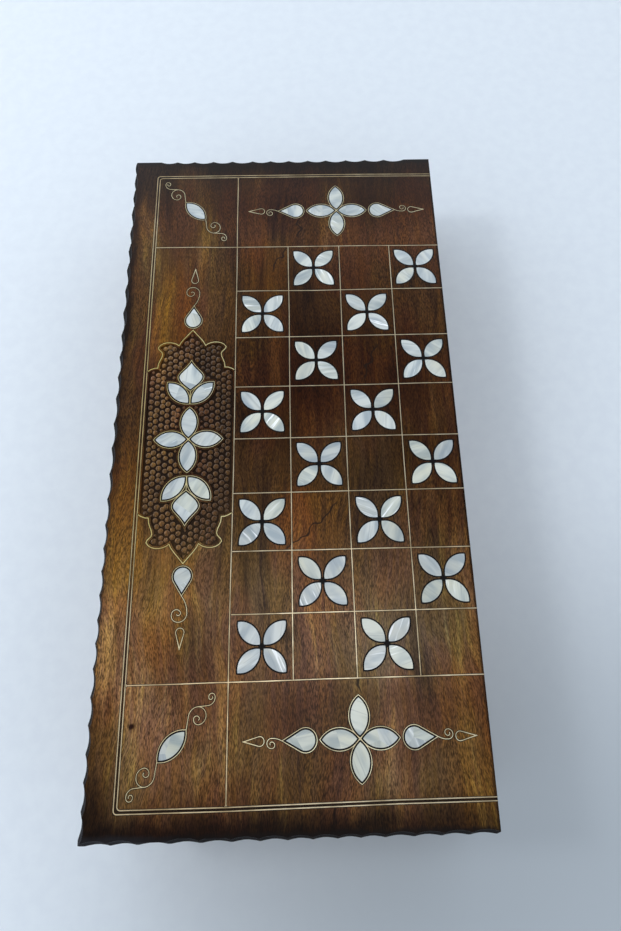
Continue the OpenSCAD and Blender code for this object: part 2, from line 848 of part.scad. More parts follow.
module field() {
    color(walnut) lining() difference() {
        translate([inside_x0, -inside_y]) square([inside_w, 2*inside_y]);
        points_of(0);
        points_of(1);
    }
}

module end_rail(s) {
    color(walnut_dark) mirror([0, s < 0 ? 1 : 0, 0])
        translate([0, 0, 2*half_h - field_z - rail_h]) linear_extrude(rail_h) difference() {
            translate([inside_x0, inside_y - rail_d]) square([inside_w, rail_d]);
            for (i = [0:points_across - 1])
                translate([inside_x0 + (i + 0.5)*point_pitch, inside_y - rail_d + bay_d - bay_r]) circle(bay_r);
        }
}

// Hinges. Leaves, pins and screws are drawn with the pin on the Y axis.

function knuckle_y(k) = (k - knuckles/2)*hinge_l/knuckles;

module barrel(k, r, gap) {
    translate([0, knuckle_y(k) + gap/2, 0]) rotate([-90, 0, 0]) cylinder(h = hinge_l/knuckles - gap, r = r);
}

// The leaf with every second knuckle, from the first one given
module leaf(first, bore) {
    difference() {
        union() {
            translate([-leaf_w, -hinge_l/2, leaf_drop]) cube([leaf_w - pin_r, hinge_l, leaf_t]);
            for (k = [first:2:knuckles - 1]) barrel(k, barrel_r, knuckle_gap);
        }
        rotate([90, 0, 0]) cylinder(h = hinge_l + 2*cut, r = bore, center = true);
        for (k = [1 - first:2:knuckles - 1]) barrel(k, barrel_r + barrel_room, -knuckle_gap);
        for (i = [-1:1]) translate([-(leaf_w + barrel_r)/2, i*screw_spread*hinge_l, leaf_drop]) {
            cylinder(h = leaf_t + cut, r = leaf_screw_r);
            cylinder(h = screw_head_t, r1 = screw_head_r, r2 = leaf_screw_r);
        }
    }
}

module leaf_screw() {
    difference() {
        union() {
            cylinder(h = screw_head_t, r1 = screw_head_r, r2 = leaf_screw_r);
            cylinder(h = leaf_screw_l, r = leaf_screw_r);
        }
        translate([-screw_head_r, -slot_w/2, -cut]) cube([2*screw_head_r, slot_w, slot_t + cut]);
    }
}

module hinge_pin() {
    rotate([90, 0, 0]) {
        cylinder(h = hinge_l, r = pin_r, center = true);
        for (s = [0, 1]) mirror([0, 0, s]) translate([0, 0, hinge_l/2 + knuckle_gap/2])
            cylinder(h = pin_head_t, r = pin_head_r);
        cylinder(h = hinge_l + knuckle_gap + pin_head_t, r = pin_r, center = true);
    }
}

// Hooks on the base's front wall and studs on the lid's

hook_y = board_l/2 - hook_end_l;
hook_z = half_h - hook_drop;

// A hook hangs from its eye and opens towards +Y, where the stud comes in along an arc
module hook() {
    notch_r = stud_r + notch_clear;
    rotate([90, 0, -90]) translate([0, 0, hook_off]) difference() {
        linear_extrude(hook_t) difference() {
            union() {
                circle(eye_r);
                translate([-hook_arm_w/2, -hook_l]) square([hook_arm_w, hook_l]);
                translate([0, -hook_l]) circle(hook_end_r);
            }
            circle(hook_pin_r + hook_clear);
            translate([0, -hook_l]) circle(notch_r + notch_seat);
        }
        translate([0, 0, -cut]) rotate(-135) rotate_extrude(angle = 45)
            translate([hook_l - notch_r, 0]) square([2*notch_r, hook_t + 2*cut]);
    }
}

// A round-headed pin that stands out of a front wall along -X
module wall_pin(r, head_r, head_t) {
    stand = hook_off + hook_t + head_off;
    rotate([0, -90, 0]) difference() {
        union() {
            translate([0, 0, -hook_bite]) cylinder(h = hook_bite + stand + head_t, r = r);
            translate([0, 0, stand]) cylinder(h = head_t/2, r = head_r);
            translate([0, 0, stand + head_t/2]) cylinder(h = head_t/2, r1 = head_r, r2 = head_r - head_t/2);
        }
        translate([-head_r, -slot_w/2, stand + head_t - slot_t]) cube([2*head_r, slot_w, slot_t + cut]);
    }
}

module wall_pin_hole(r) {
    rotate([0, 90, 0]) translate([0, 0, -cut]) cylinder(h = hook_bite + cut, r = r);
}

module at_hook_pivots() {
    for (s = [-1, 1]) translate([front_x, s*hook_y, hook_z]) children();
}

module at_studs() {
    for (s = [-1, 1]) translate([front_x, s*hook_y, hook_z + hook_l]) children();
}

// Base half
as_base() plate(0);  // base_plate
color(walnut) difference() {  // base_front_wall
    as_base() front_wall();
    at_hook_pivots() wall_pin_hole(hook_pin_r);
}
color(walnut) as_base() hinge_wall();  // base_hinge_wall
color(walnut) as_base() end_wall(1);  // base_far_wall
color(walnut) as_base() end_wall(-1);  // base_near_wall
as_base() field();  // base_field
color(maple) as_base() lining() points_of(0);  // base_light_points
color(ebony) as_base() lining() points_of(1);  // base_dark_points
as_base() end_rail(1);  // base_far_rail
as_base() end_rail(-1);  // base_near_rail
as_base() square_pearl(0);  // base_square_pearl
as_base() motif_pearl();  // base_motif_pearl
as_base() mastic_fill(0);  // base_mastic
as_base() border_wire();  // base_border_wire
as_base() grid_wire();  // base_grid_wire
as_base() motif_wire();  // base_motif_wire
as_base() cartouche_wire();  // base_cartouche_wire

// Lid half
plate(1);  // lid_plate
color(walnut) difference() {  // lid_front_wall
    front_wall();
    at_studs() wall_pin_hole(stud_r);
}
color(walnut) hinge_wall();  // lid_hinge_wall
color(walnut) end_wall(1);  // lid_far_wall
color(walnut) end_wall(-1);  // lid_near_wall
field();  // lid_field
color(maple) lining() points_of(0);  // lid_light_points
color(ebony) lining() points_of(1);  // lid_dark_points
end_rail(1);  // lid_far_rail
end_rail(-1);  // lid_near_rail
square_pearl(1);  // lid_square_pearl
motif_pearl();  // lid_motif_pearl
mastic_fill(1);  // lid_mastic
border_wire();  // lid_border_wire
grid_wire();  // lid_grid_wire
motif_wire();  // lid_motif_wire
cartouche_wire();  // lid_cartouche_wire

// Hardware
color(brass) as_base() at_hinges() leaf(0, pin_r);  // base_hinge_leaves
color(brass) at_hinges() leaf(1, pin_r + pin_clear);  // lid_hinge_leaves
color(brass) at_hinges() hinge_pin();  // hinge_pins
color(brass) as_base() at_leaf_screws() leaf_screw();  // base_leaf_screws
color(brass) at_leaf_screws() leaf_screw();  // lid_leaf_screws
color(brass)  // near_hook
    translate([front_x, -hook_y, hook_z]) hook();
color(brass)  // far_hook
    translate([front_x, hook_y, hook_z]) mirror([0, 1, 0]) hook();
color(brass) at_hook_pivots() wall_pin(hook_pin_r, hook_head_r, hook_head_t);  // hook_screws
color(brass) at_studs() wall_pin(stud_r, stud_head_r, stud_head_t);  // catch_studs
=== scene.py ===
# %% [markdown]
# # A folding backgammon board in walnut, pearl and wire
#
# The real board is two shallow walnut trays, hinged so that they close face to face. Its outer
# faces are one chequer board cut in half. The maker let mother-of-pearl petals into the wood,
# packed dark mastic round them, hammered flat pale wire into saw-thin grooves, pebbled the ground
# of one long panel with a ring punch, and scooped the rim with a gouge.
#
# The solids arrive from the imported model. This script gives them their finish, adds the pebbles
# and the dark hairlines, which are too small and too many for the solids, and lights the board as
# a studio would.

import math
import random

import bmesh
import bpy
from mathutils import Matrix, Vector
from mathutils.bvhtree import BVHTree


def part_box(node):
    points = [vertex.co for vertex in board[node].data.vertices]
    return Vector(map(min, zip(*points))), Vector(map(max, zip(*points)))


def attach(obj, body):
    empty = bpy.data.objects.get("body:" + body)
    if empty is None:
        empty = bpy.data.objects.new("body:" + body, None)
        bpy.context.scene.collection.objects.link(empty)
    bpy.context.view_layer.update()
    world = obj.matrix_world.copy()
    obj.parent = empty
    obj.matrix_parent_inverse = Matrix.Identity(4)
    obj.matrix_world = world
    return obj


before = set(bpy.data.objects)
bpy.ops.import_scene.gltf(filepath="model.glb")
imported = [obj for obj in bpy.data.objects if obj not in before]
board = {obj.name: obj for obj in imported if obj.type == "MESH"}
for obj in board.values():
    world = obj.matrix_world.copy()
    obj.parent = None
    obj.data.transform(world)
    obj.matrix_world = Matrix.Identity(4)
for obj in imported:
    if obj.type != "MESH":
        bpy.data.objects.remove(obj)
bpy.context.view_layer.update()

# %% [markdown]
# ## Measures
#
# Everything is in metres, and the origin is the middle of the closed board's underside. A few
# lines of the board are needed again and again: the outer faces, the rim, the corner of the grid
# and the square. They are read from the solids where that is possible, so the finish follows them.

# %% Lines of the board
MM = 0.001
lid_low, lid_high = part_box("lid_plate")
base_low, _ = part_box("base_plate")
LID_FACE = lid_high.z
BASE_FACE = base_low.z
FRONT_EDGE = lid_low.x
HINGE_EDGE = lid_high.x
END_EDGE = lid_high.y
SQUARE = 40*MM
GRID_X = HINGE_EDGE - 4*SQUARE
PANEL_X = GRID_X - 32.5*MM
print("face at", round(LID_FACE, 4), "grid from", round(GRID_X, 4), "to", round(HINGE_EDGE, 4))

# %% [markdown]
# ## Camera
#
# The photograph was taken with a telephone held above the near end of the board, so its lens is
# short and the far end looks smaller. The eight by four equal squares of the grid fix the camera:
# the height, the tilt and the focal length are the ones at which they fall on their places. The
# lens is given in millimetres, as on a real camera, and the turn in degrees about X, Y and Z.

# %% Place the camera
LENS = 18.88
CAMERA_PLACE = (GRID_X + 49.32*MM, -110.62*MM, 394.43*MM)
CAMERA_TURN = (15.153, -0.414, -1.361)

camera_data = bpy.data.cameras.new("camera")
camera_data.sensor_width = 36
camera_data.lens = LENS
camera_data.clip_start = 10*MM
camera = bpy.data.objects.new("camera", camera_data)
camera.location = CAMERA_PLACE
camera.rotation_euler = [math.radians(turn) for turn in CAMERA_TURN]
bpy.context.scene.collection.objects.link(camera)
bpy.context.scene.camera = camera
print("camera", tuple(round(v, 3) for v in camera.location))

# %% [markdown]
# ## Colours
#
# A colour is written here as a screen shows it, from 0 to 255. Shaders work in linear light, so
# every colour is converted once. A tint that multiplies another colour may go past 255, and then
# it brightens what it lies on.

# %% Colours as a screen shows them
def colour(red, green, blue):
    """A colour as a screen shows it, 0 to 255, turned into the linear values that shaders use."""
    linear = []
    for value in (red, green, blue):
        part = value/255
        linear.append(part/12.92 if part <= 0.04045 else ((part + 0.055)/1.055)**2.4)
    return (*linear, 1.0)


print("the screen's middle grey is", round(colour(128, 128, 128)[0], 3), "in linear light")

# %% [markdown]
# ## Node helpers
#
# A material is a small graph of nodes. A few helpers keep the graphs readable. The first adds a
# node and fills or links its inputs, and the others name what the node is for: a sum, a soft step,
# a blend of colours, a stretched noise.

# %% Helpers for node graphs
def add(tree, kind, inputs=None, **settings):
    """A new node. Each input is a number, a colour or another node's socket."""
    made = tree.nodes.new(kind)
    for name, value in settings.items():
        setattr(made, name, value)
    for name, value in (inputs or {}).items():
        socket = made.inputs[name]
        if isinstance(value, bpy.types.NodeSocket):
            tree.links.new(value, socket)
        else:
            socket.default_value = value
    return made


def maths(tree, operation, first, *others):
    """A value worked out from one value, or from several in turn, such as the smallest of them."""
    result = first
    for other in others or (0.0,):
        result = add(tree, "ShaderNodeMath", {0: result, 1: other}, operation=operation).outputs[0]
    return result


def ramp(tree, value, low, high, to_low=0.0, to_high=1.0, kind="SMOOTHSTEP"):
    """A soft step: to_low below low, to_high above high."""
    inputs = {"Value": value, "From Min": low, "From Max": high, "To Min": to_low, "To Max": to_high}
    return add(tree, "ShaderNodeMapRange", inputs, interpolation_type=kind).outputs["Result"]


def blend(tree, factor, a, b, mode="MIX"):
    """Goes from colour a to colour b as factor grows. In MULTIPLY mode, from a to a times b."""
    inputs = {0: factor, 6: a, 7: b}
    return add(tree, "ShaderNodeMix", inputs, data_type="RGBA", blend_type=mode).outputs[2]


def dimmed(tree, tone, amount):
    """A colour made darker or brighter by a number."""
    grey = add(tree, "ShaderNodeCombineXYZ", {"X": amount, "Y": amount, "Z": amount}).outputs[0]
    return blend(tree, 1.0, tone, grey, "MULTIPLY")


def vectors(tree, operation, a, b=(0, 0, 0)):
    """A sum, a product and so on of whole vectors. A length or a dot product is one value."""
    answer = "Value" if operation in ("LENGTH", "DOT_PRODUCT") else "Vector"
    return add(tree, "ShaderNodeVectorMath", {0: a, 1: b}, operation=operation).outputs[answer]


def parts(tree, vector):
    """The three parts of a vector, as outputs named X, Y and Z."""
    return add(tree, "ShaderNodeSeparateXYZ", {0: vector}).outputs


def turned(tree, vector, angle):
    """A vector turned about the upright axis."""
    inputs = {"Vector": vector, "Angle": angle}
    return add(tree, "ShaderNodeVectorRotate", inputs, rotation_type="Z_AXIS").outputs[0]


def stretched_noise(tree, place, scale, detail=3.0, roughness=0.55, seed=0.0):
    """Noise that is stretched by giving each axis its own scale, in cycles per metre."""
    inputs = {"Vector": vectors(tree, "MULTIPLY", place, scale), "W": seed, "Scale": 1.0,
              "Detail": detail, "Roughness": roughness}
    return add(tree, "ShaderNodeTexNoise", inputs, noise_dimensions="4D").outputs["Fac"]


def swing(tree, noise, reach):
    """Noise from 0 to 1, turned into a push to either side that is reach wide from end to end."""
    return maths(tree, "MULTIPLY", maths(tree, "SUBTRACT", noise, 0.5), reach)


helpers = (add, maths, ramp, blend, dimmed, vectors, parts, turned, stretched_noise, swing)
print("node helpers:", ", ".join(helper.__name__ for helper in helpers))

# %% [markdown]
# ## Node groups
#
# An effect that several materials share, such as wood figure, is a node group: it is built once,
# and each material places it with its own values in the group's named sockets.

# %% Helpers for node groups
FLOAT, VECTOR, COLOUR = "NodeSocketFloat", "NodeSocketVector", "NodeSocketColor"


def new_group(name, inputs, outputs):
    """An empty node group with named sockets. Returns its tree, its input node and its output node."""
    tree = bpy.data.node_groups.new(name, "ShaderNodeTree")
    for socket, kind, value in inputs:
        made = tree.interface.new_socket(socket, in_out="INPUT", socket_type=kind)
        if value is not None:
            made.default_value = value
    for socket, kind in outputs:
        tree.interface.new_socket(socket, in_out="OUTPUT", socket_type=kind)
    return tree, tree.nodes.new("NodeGroupInput"), tree.nodes.new("NodeGroupOutput")


def place_group(tree, group, inputs):
    """Places a group in a material, fills its inputs and returns its outputs."""
    return add(tree, "ShaderNodeGroup", inputs, node_tree=group).outputs


print("socket kinds:", FLOAT, VECTOR, COLOUR)

# %% [markdown]
# ## Wood figure
#
# Walnut seen on a flat-sawn face is broad bands of dark heartwood and paler wood along the grain,
# fine fibres, short open pores that catch the polish, and here and there the lines of the year
# rings. All of it is noise stretched along one axis. A slow sideways drift bends the bands,
# because no tree grows straight.

# %% Layers of the figure
# Each layer: cycles per metre across, along and through the board, then detail and roughness.
FIGURE = {
    "blotches": ((34, 10, 34), 2.0, 0.5),
    "streaks": ((420, 22, 420), 3.0, 0.65),
    "bands": ((130, 8, 130), 2.0, 0.5),
    "fibres": ((2500, 380, 2500), 1.0, 0.6),
    "pores": ((1750, 600, 1750), 0.0, 0.4),
    "rings": ((26, 7, 26), 1.0, 0.4),
    "hues": ((200, 22, 200), 3.0, 0.7),
    "mood": ((30, 13, 30), 1.0, 0.5),
}
BEND = 45*MM
RING_LINES = 17.0
# The darkest and the lightest fibre, as shares taken from or added to the wood's light.
FIBRE_SHADE = (-0.56, 0.60)
TONE_SHARES = {"blotches": 0.45, "streaks": 0.35, "bands": 0.2}
# Each cast: its layer, where it turns from the first tint to the second, and the two tints.
CASTS = (
    ("hues", (0.40, 0.60), colour(258, 250, 232), colour(242, 238, 258)),
    ("mood", (0.42, 0.58), colour(247, 257, 240), colour(260, 249, 252)),
)
print("layers of the figure:", ", ".join(FIGURE))

# %% Wood figure, as a group
wood_group, wood_in, wood_out = new_group(
    "wood figure",
    [("Place", VECTOR, None), ("Seed", FLOAT, 0.0), ("Dark", COLOUR, None), ("Middle", COLOUR, None),
     ("Light", COLOUR, None), ("Contrast", FLOAT, 1.0), ("Grain", FLOAT, 1.0), ("Pores", FLOAT, 0.6)],
    [("Color", COLOUR), ("Height", FLOAT)],
)


def draw_wood_figure(tree, given, result):
    place, seed, grain = (given.outputs[name] for name in ("Place", "Seed", "Grain"))
    drift = swing(tree, stretched_noise(tree, place, (16, 7, 16), 2.0, 0.5, seed), BEND)
    bent = vectors(tree, "ADD", place, add(tree, "ShaderNodeCombineXYZ", {"X": drift}).outputs[0])
    layer = {name: stretched_noise(tree, bent, *look, seed) for name, look in FIGURE.items()}
    somewhere = stretched_noise(tree, place, (20, 14, 20), 2.0, 0.5, seed)

    shares = [maths(tree, "MULTIPLY", layer[name], share) for name, share in TONE_SHARES.items()]
    tone = maths(tree, "SUBTRACT", maths(tree, "ADD", *shares), 0.5)
    tone = maths(tree, "ADD", maths(tree, "MULTIPLY", tone, given.outputs["Contrast"]), 0.5)
    deep = blend(tree, ramp(tree, tone, 0.30, 0.50), given.outputs["Dark"], given.outputs["Middle"])
    figured = blend(tree, ramp(tree, tone, 0.50, 0.72), deep, given.outputs["Light"])
    for name, turn, first, second in CASTS:
        cast = blend(tree, ramp(tree, layer[name], *turn), first, second)
        figured = blend(tree, grain, figured, cast, "MULTIPLY")

    lively = maths(tree, "MULTIPLY", ramp(tree, somewhere, 0.36, 0.60, 0.8, 1.1), grain)
    fibres = maths(tree, "MULTIPLY", ramp(tree, layer["fibres"], 0.34, 0.66, *FIBRE_SHADE), lively)
    pores = maths(tree, "MULTIPLY", ramp(tree, layer["pores"], 0.54, 0.60), given.outputs["Pores"])
    folded = maths(tree, "PINGPONG", maths(tree, "MULTIPLY", layer["rings"], RING_LINES), 1.0)
    ring_share = ramp(tree, somewhere, 0.52, 0.64, 0.0, 0.5)
    rings = maths(tree, "MULTIPLY", ramp(tree, folded, 0.0, 0.16, 1.0, 0.0), ring_share)
    sound = maths(tree, "SUBTRACT", 1.0, maths(tree, "MAXIMUM", pores, rings))
    shade = maths(tree, "MULTIPLY", maths(tree, "ADD", fibres, 1.0), sound)
    tree.links.new(dimmed(tree, figured, shade), result.inputs["Color"])

    height = maths(tree, "SUBTRACT", maths(tree, "MULTIPLY", layer["fibres"], 0.35), pores)
    tree.links.new(height, result.inputs["Height"])


draw_wood_figure(wood_group, wood_in, wood_out)
print("wood figure:", len(wood_group.nodes), "nodes")

# %% [markdown]
# ## Soft patches
#
# The lid is one board, yet its colour wanders: golden beside the cartouche, dark across the middle
# squares. A patch is a soft oval whose edge is frayed along the grain. The same group makes the
# small dark knot near the near end, the painted sheen on the lacquer and the painted shadow on the
# table.

# %% Soft patch, as a group
patch_group, patch_in, patch_out = new_group(
    "soft patch",
    [("Place", VECTOR, None), ("Middle", VECTOR, None), ("Reach", VECTOR, None), ("Fray", FLOAT, 0.5)],
    [("Mask", FLOAT)],
)


def draw_soft_patch(tree, given, result):
    place = given.outputs["Place"]
    away = vectors(tree, "SUBTRACT", place, given.outputs["Middle"])
    distance = vectors(tree, "LENGTH", vectors(tree, "DIVIDE", away, given.outputs["Reach"]))
    frayed = swing(tree, stretched_noise(tree, place, (150, 14, 150)), given.outputs["Fray"])
    distance = maths(tree, "ADD", distance, frayed)
    tree.links.new(ramp(tree, distance, 0.35, 1.0, 1.0, 0.0), result.inputs["Mask"])


def patch(tree, place, middle, reach, fray=0.5):
    inputs = {"Place": place, "Middle": middle, "Reach": reach, "Fray": fray}
    return place_group(tree, patch_group, inputs)["Mask"]


draw_soft_patch(patch_group, patch_in, patch_out)
print("soft patch:", len(patch_group.nodes), "nodes")

# %% [markdown]
# ## Hairline cracks
#
# The old board has a few fine dark cracks that cross the squares at a slant. A crack is a straight
# line whose place is pushed sideways by noise, so that it zigzags, and it thins out at both ends.

# %% Hairline crack, as a group
ZIGZAG = 16*MM
crack_group, crack_in, crack_out = new_group(
    "hairline crack",
    [("Place", VECTOR, None), ("Middle", VECTOR, None), ("Slant", FLOAT, 0.0), ("Half length", FLOAT, 0.02)],
    [("Mask", FLOAT)],
)


def draw_hairline_crack(tree, given, result):
    place = given.outputs["Place"]
    away = vectors(tree, "SUBTRACT", place, given.outputs["Middle"])
    at = parts(tree, turned(tree, away, maths(tree, "MULTIPLY", given.outputs["Slant"], -1.0)))
    jog = swing(tree, stretched_noise(tree, place, (95, 95, 95), 1.0, 0.5), ZIGZAG)
    across = maths(tree, "ABSOLUTE", maths(tree, "ADD", at["Y"], jog))
    share = maths(tree, "DIVIDE", maths(tree, "ABSOLUTE", at["X"]), given.outputs["Half length"])
    thin = ramp(tree, across, 0.35*MM, 0.95*MM, 1.0, 0.0)
    line = maths(tree, "MULTIPLY", thin, ramp(tree, share, 0.6, 1.0, 1.0, 0.0))
    tree.links.new(line, result.inputs["Mask"])


draw_hairline_crack(crack_group, crack_in, crack_out)
print("hairline crack:", len(crack_group.nodes), "nodes")

# %% [markdown]
# ## Toasted edges
#
# The maker darkens the rim over a flame or with stain. It is nearly black in the scoops, dark in
# the corners, and fades over a finger's width on the face. Three masks are worked out from the
# distance to the edges and from the depth below the outer face: the scoops, a charred line along
# the rim, and the fade.

# %% Toasted edge, as a group
toast_group, toast_in, toast_out = new_group(
    "toasted edge",
    [("Place", VECTOR, None), ("Depth", FLOAT, 0.0)],
    [("Scoop", FLOAT), ("Fade", FLOAT), ("Char", FLOAT)],
)


def draw_toasted_edge(tree, given, result):
    place = given.outputs["Place"]
    at = parts(tree, place)
    from_far = maths(tree, "SUBTRACT", END_EDGE, at["Y"])
    from_near = maths(tree, "ADD", END_EDGE, at["Y"])
    from_front = maths(tree, "SUBTRACT", at["X"], FRONT_EDGE)
    from_hinge = maths(tree, "SUBTRACT", HINGE_EDGE, at["X"])

    rim = ramp(tree, maths(tree, "MINIMUM", from_far, from_near, from_front), 8*MM, 12*MM, 1.0, 0.0)
    scoop = maths(tree, "MULTIPLY", ramp(tree, given.outputs["Depth"], 0.05*MM, 0.7*MM), rim)
    tree.links.new(scoop, result.inputs["Scoop"])

    ragged = swing(tree, stretched_noise(tree, place, (160, 160, 160), 2.0), 5*MM)
    edge = maths(tree, "MINIMUM", from_far, from_near, maths(tree, "ADD", from_front, 2*MM))
    char = ramp(tree, maths(tree, "ADD", edge, ragged), 5.4*MM, 8.6*MM, 0.85, 0.0)
    tree.links.new(char, result.inputs["Char"])

    wander = swing(tree, stretched_noise(tree, place, (45, 22, 45), 4.0), 30*MM)
    far_fade = ramp(tree, maths(tree, "ADD", from_far, wander), 6*MM, 34*MM, 0.95, 0.0)
    near_fade = ramp(tree, maths(tree, "ADD", from_near, wander), 8*MM, 28*MM, 1.0, 0.0)
    near_share = ramp(tree, at["X"], GRID_X + 70*MM, HINGE_EDGE, 1.0, 0.6)
    front_fade = ramp(tree, maths(tree, "ADD", from_front, wander), 5*MM, 13*MM, 0.97, 0.0)
    front_share = ramp(tree, at["Y"], -120*MM, 30*MM, 0.25, 1.0)
    fades = [
        far_fade,
        maths(tree, "MULTIPLY", near_fade, near_share),
        maths(tree, "MULTIPLY", front_fade, front_share),
        ramp(tree, from_hinge, 0.5*MM, 2.4*MM, 0.9, 0.0),
    ]
    for end, reach in ((END_EDGE, 96*MM), (-END_EDGE, 58*MM)):
        corner = patch(tree, place, (FRONT_EDGE, end, LID_FACE), (0.6*reach, reach, 1), 0.9)
        fades.append(maths(tree, "MULTIPLY", corner, 0.9))
    tree.links.new(maths(tree, "MAXIMUM", *fades), result.inputs["Fade"])


draw_toasted_edge(toast_group, toast_in, toast_out)
print("toasted edge:", len(toast_group.nodes), "nodes")

# %% [markdown]
# ## Shade between the border wires
#
# Two wires run side by side round the face, and the strip between them holds dust and polish, so
# it is the darkest line on the board. The near and far runs were laid by eye and climb a little
# towards the hinge, and the shade climbs with them.

# %% Border shade, as a group
BORDER_X = GRID_X - 66*MM
BORDER_Y = 4*SQUARE + 69.5*MM
BORDER_BEND_X = GRID_X + 100*MM
border_group, border_in, border_out = new_group(
    "border shade", [("Place", VECTOR, None)], [("Mask", FLOAT)])


def draw_border_shade(tree, given, result):
    at = parts(tree, given.outputs["Place"])
    near = ramp(tree, at["X"], GRID_X, BORDER_BEND_X, -0.2*MM, 1.05*MM, "LINEAR")
    far = ramp(tree, at["X"], BORDER_BEND_X, HINGE_EDGE, 0.1*MM, 0.7*MM, "LINEAR")
    past_near = maths(tree, "SUBTRACT", near, at["Y"], BORDER_Y)
    past_far = maths(tree, "SUBTRACT", maths(tree, "ADD", far, at["Y"]), BORDER_Y)
    past_front = maths(tree, "SUBTRACT", BORDER_X, at["X"])
    past = maths(tree, "ABSOLUTE", maths(tree, "MAXIMUM", past_front, past_near, past_far))
    tree.links.new(ramp(tree, past, 1.0*MM, 1.9*MM, 1.0, 0.0), result.inputs["Mask"])


draw_border_shade(border_group, border_in, border_out)
print("border shade:", len(border_group.nodes), "nodes")

# %% [markdown]
# ## Walnut for the outer plates
#
# The plate's finish is the wood figure, tinted by the patches, some of which are painted sheen,
# crossed by the cracks, darkened by toast and shade, and darkened in the carved ground, partly by a
# stain and partly by painted shade between the pebbles. Above it lies a thin hand-rubbed lacquer,
# which is the coat of the shader. At the near left corner the charred rim is lighter and cooler: a
# painted sheen. The lid follows the photograph. The base is another board of the same tree, so it
# has its own seed and its own patches.

# %% Walnut colours
WALNUT_DARK = colour(48, 29, 18)
WALNUT_MIDDLE = colour(86, 57, 31)
WALNUT_LIGHT = colour(130, 98, 52)
TOASTED = colour(94, 88, 100)
CHAR = colour(15, 12, 12)
# Char with a cool sheen painted into it, for the rim at the near left corner.
CHAR_WITH_PAINTED_SHEEN = colour(30, 29, 32)
# A dark stain. In the carved ground it also serves as painted shade between the pebbles.
STAIN_AND_SHADE = colour(30, 20, 14)
LID_SEED = 3.7
BASE_SEED = 11.2
print("seeds of the two plates' figures:", LID_SEED, BASE_SEED)


# %% Start and end a material
def new_material(name):
    """An empty material, its tree, and the place of each point on the object."""
    made = bpy.data.materials.new(name)
    made.use_nodes = True
    tree = made.node_tree
    tree.nodes.clear()
    return made, tree, add(tree, "ShaderNodeTexCoord").outputs["Object"]


def close_material(tree, base, roughness, height=None, bump=0.25, depth=0.05*MM, **plain):
    """Ends a material: the shader, an optional bump, and plain numbers set on the shader itself."""
    shader = add(tree, "ShaderNodeBsdfPrincipled", {"Base Color": base, "Roughness": roughness})
    for name, value in plain.items():
        shader.inputs[name.replace("_", " ")].default_value = value
    if height is not None:
        relief = add(tree, "ShaderNodeBump", {"Height": height, "Strength": bump, "Distance": depth})
        tree.links.new(relief.outputs["Normal"], shader.inputs["Normal"])
    add(tree, "ShaderNodeOutputMaterial", {"Surface": shader.outputs["BSDF"]})
    return shader


def cell_chance(tree, place, size):
    """A random value and colour for each cell of a lattice that lines up with the grid."""
    corner = vectors(tree, "SUBTRACT", place, (GRID_X, 0, 0))
    cell = vectors(tree, "FLOOR", vectors(tree, "DIVIDE", corner, (size, size, 1)))
    return add(tree, "ShaderNodeTexWhiteNoise", {"Vector": cell}, noise_dimensions="3D").outputs


print("helpers:", new_material.__name__, close_material.__name__, cell_chance.__name__)


# %% Walnut of an outer plate
SQUARE_TONES = (0.88, 1.10)


def plate_walnut(name, face, seed, patches, cracks=()):
    made, tree, place = new_material(name)
    at = parts(tree, place)
    figure = place_group(tree, wood_group, {
        "Place": place, "Seed": seed, "Dark": WALNUT_DARK, "Middle": WALNUT_MIDDLE,
        "Light": WALNUT_LIGHT, "Contrast": 1.2, "Pores": 0.2})
    # The wires part the figure, so every square of the grid has a slightly different tone.
    square_tone = ramp(tree, cell_chance(tree, place, SQUARE)["Value"], 0.0, 1.0, *SQUARE_TONES)
    tint = dimmed(tree, figure["Color"], square_tone)
    for shade, strength, middle, reach in patches:
        mask = maths(tree, "MULTIPLY", patch(tree, place, middle, reach), strength)
        tint = blend(tree, mask, tint, shade, "MULTIPLY")
    for middle, slant, half_length in cracks:
        crack = {"Place": place, "Middle": middle, "Slant": slant, "Half length": half_length}
        mask = maths(tree, "MULTIPLY", place_group(tree, crack_group, crack)["Mask"], 0.9)
        tint = blend(tree, mask, tint, STAIN_AND_SHADE)

    depth = maths(tree, "ABSOLUTE", maths(tree, "SUBTRACT", at["Z"], face))
    # The lowered ground is darkened, partly as a stain and partly as painted shade in the gaps between the
    # pebbles.
    ground_stain_and_shade = patch(tree, place, (PANEL_X, 0, face), (60*MM, 150*MM, 1), 0.0)
    ground_stain_and_shade = maths(tree, "MULTIPLY", ramp(tree, depth, 0.15*MM, 0.6*MM), ground_stain_and_shade, 0.92)
    tint = blend(tree, ground_stain_and_shade, tint, STAIN_AND_SHADE)
    border = place_group(tree, border_group, {"Place": place})["Mask"]
    border = maths(tree, "MULTIPLY", border, ramp(tree, at["Y"], -150*MM, -50*MM, 0.85, 0.45))
    tint = blend(tree, border, tint, STAIN_AND_SHADE)

    toast = place_group(tree, toast_group, {"Place": place, "Depth": depth})
    tint = blend(tree, toast["Fade"], tint, TOASTED, "MULTIPLY")
    # Painted sheen: at the near left corner the charred rim is lighter and cooler, standing in for a
    # reflection.
    sheen_corner = patch(tree, place, (FRONT_EDGE, -END_EDGE, face), (70*MM, 34*MM, 1), 0.3)
    rim_tone = blend(tree, sheen_corner, CHAR, CHAR_WITH_PAINTED_SHEEN)
    tint = blend(tree, maths(tree, "MAXIMUM", toast["Char"], toast["Scoop"]), tint, rim_tone)

    rough = ramp(tree, toast["Scoop"], 0.0, 1.0, 0.42, 0.92)
    shader = close_material(tree, tint, rough, figure["Height"],
                            Specular_IOR_Level=0.10, Coat_Roughness=0.25)
    tree.links.new(ramp(tree, toast["Scoop"], 0.0, 1.0, 0.08, 0.0), shader.inputs["Coat Weight"])
    return made


print("a square's tone is", SQUARE_TONES[0], "to", SQUARE_TONES[1], "times the wood's")
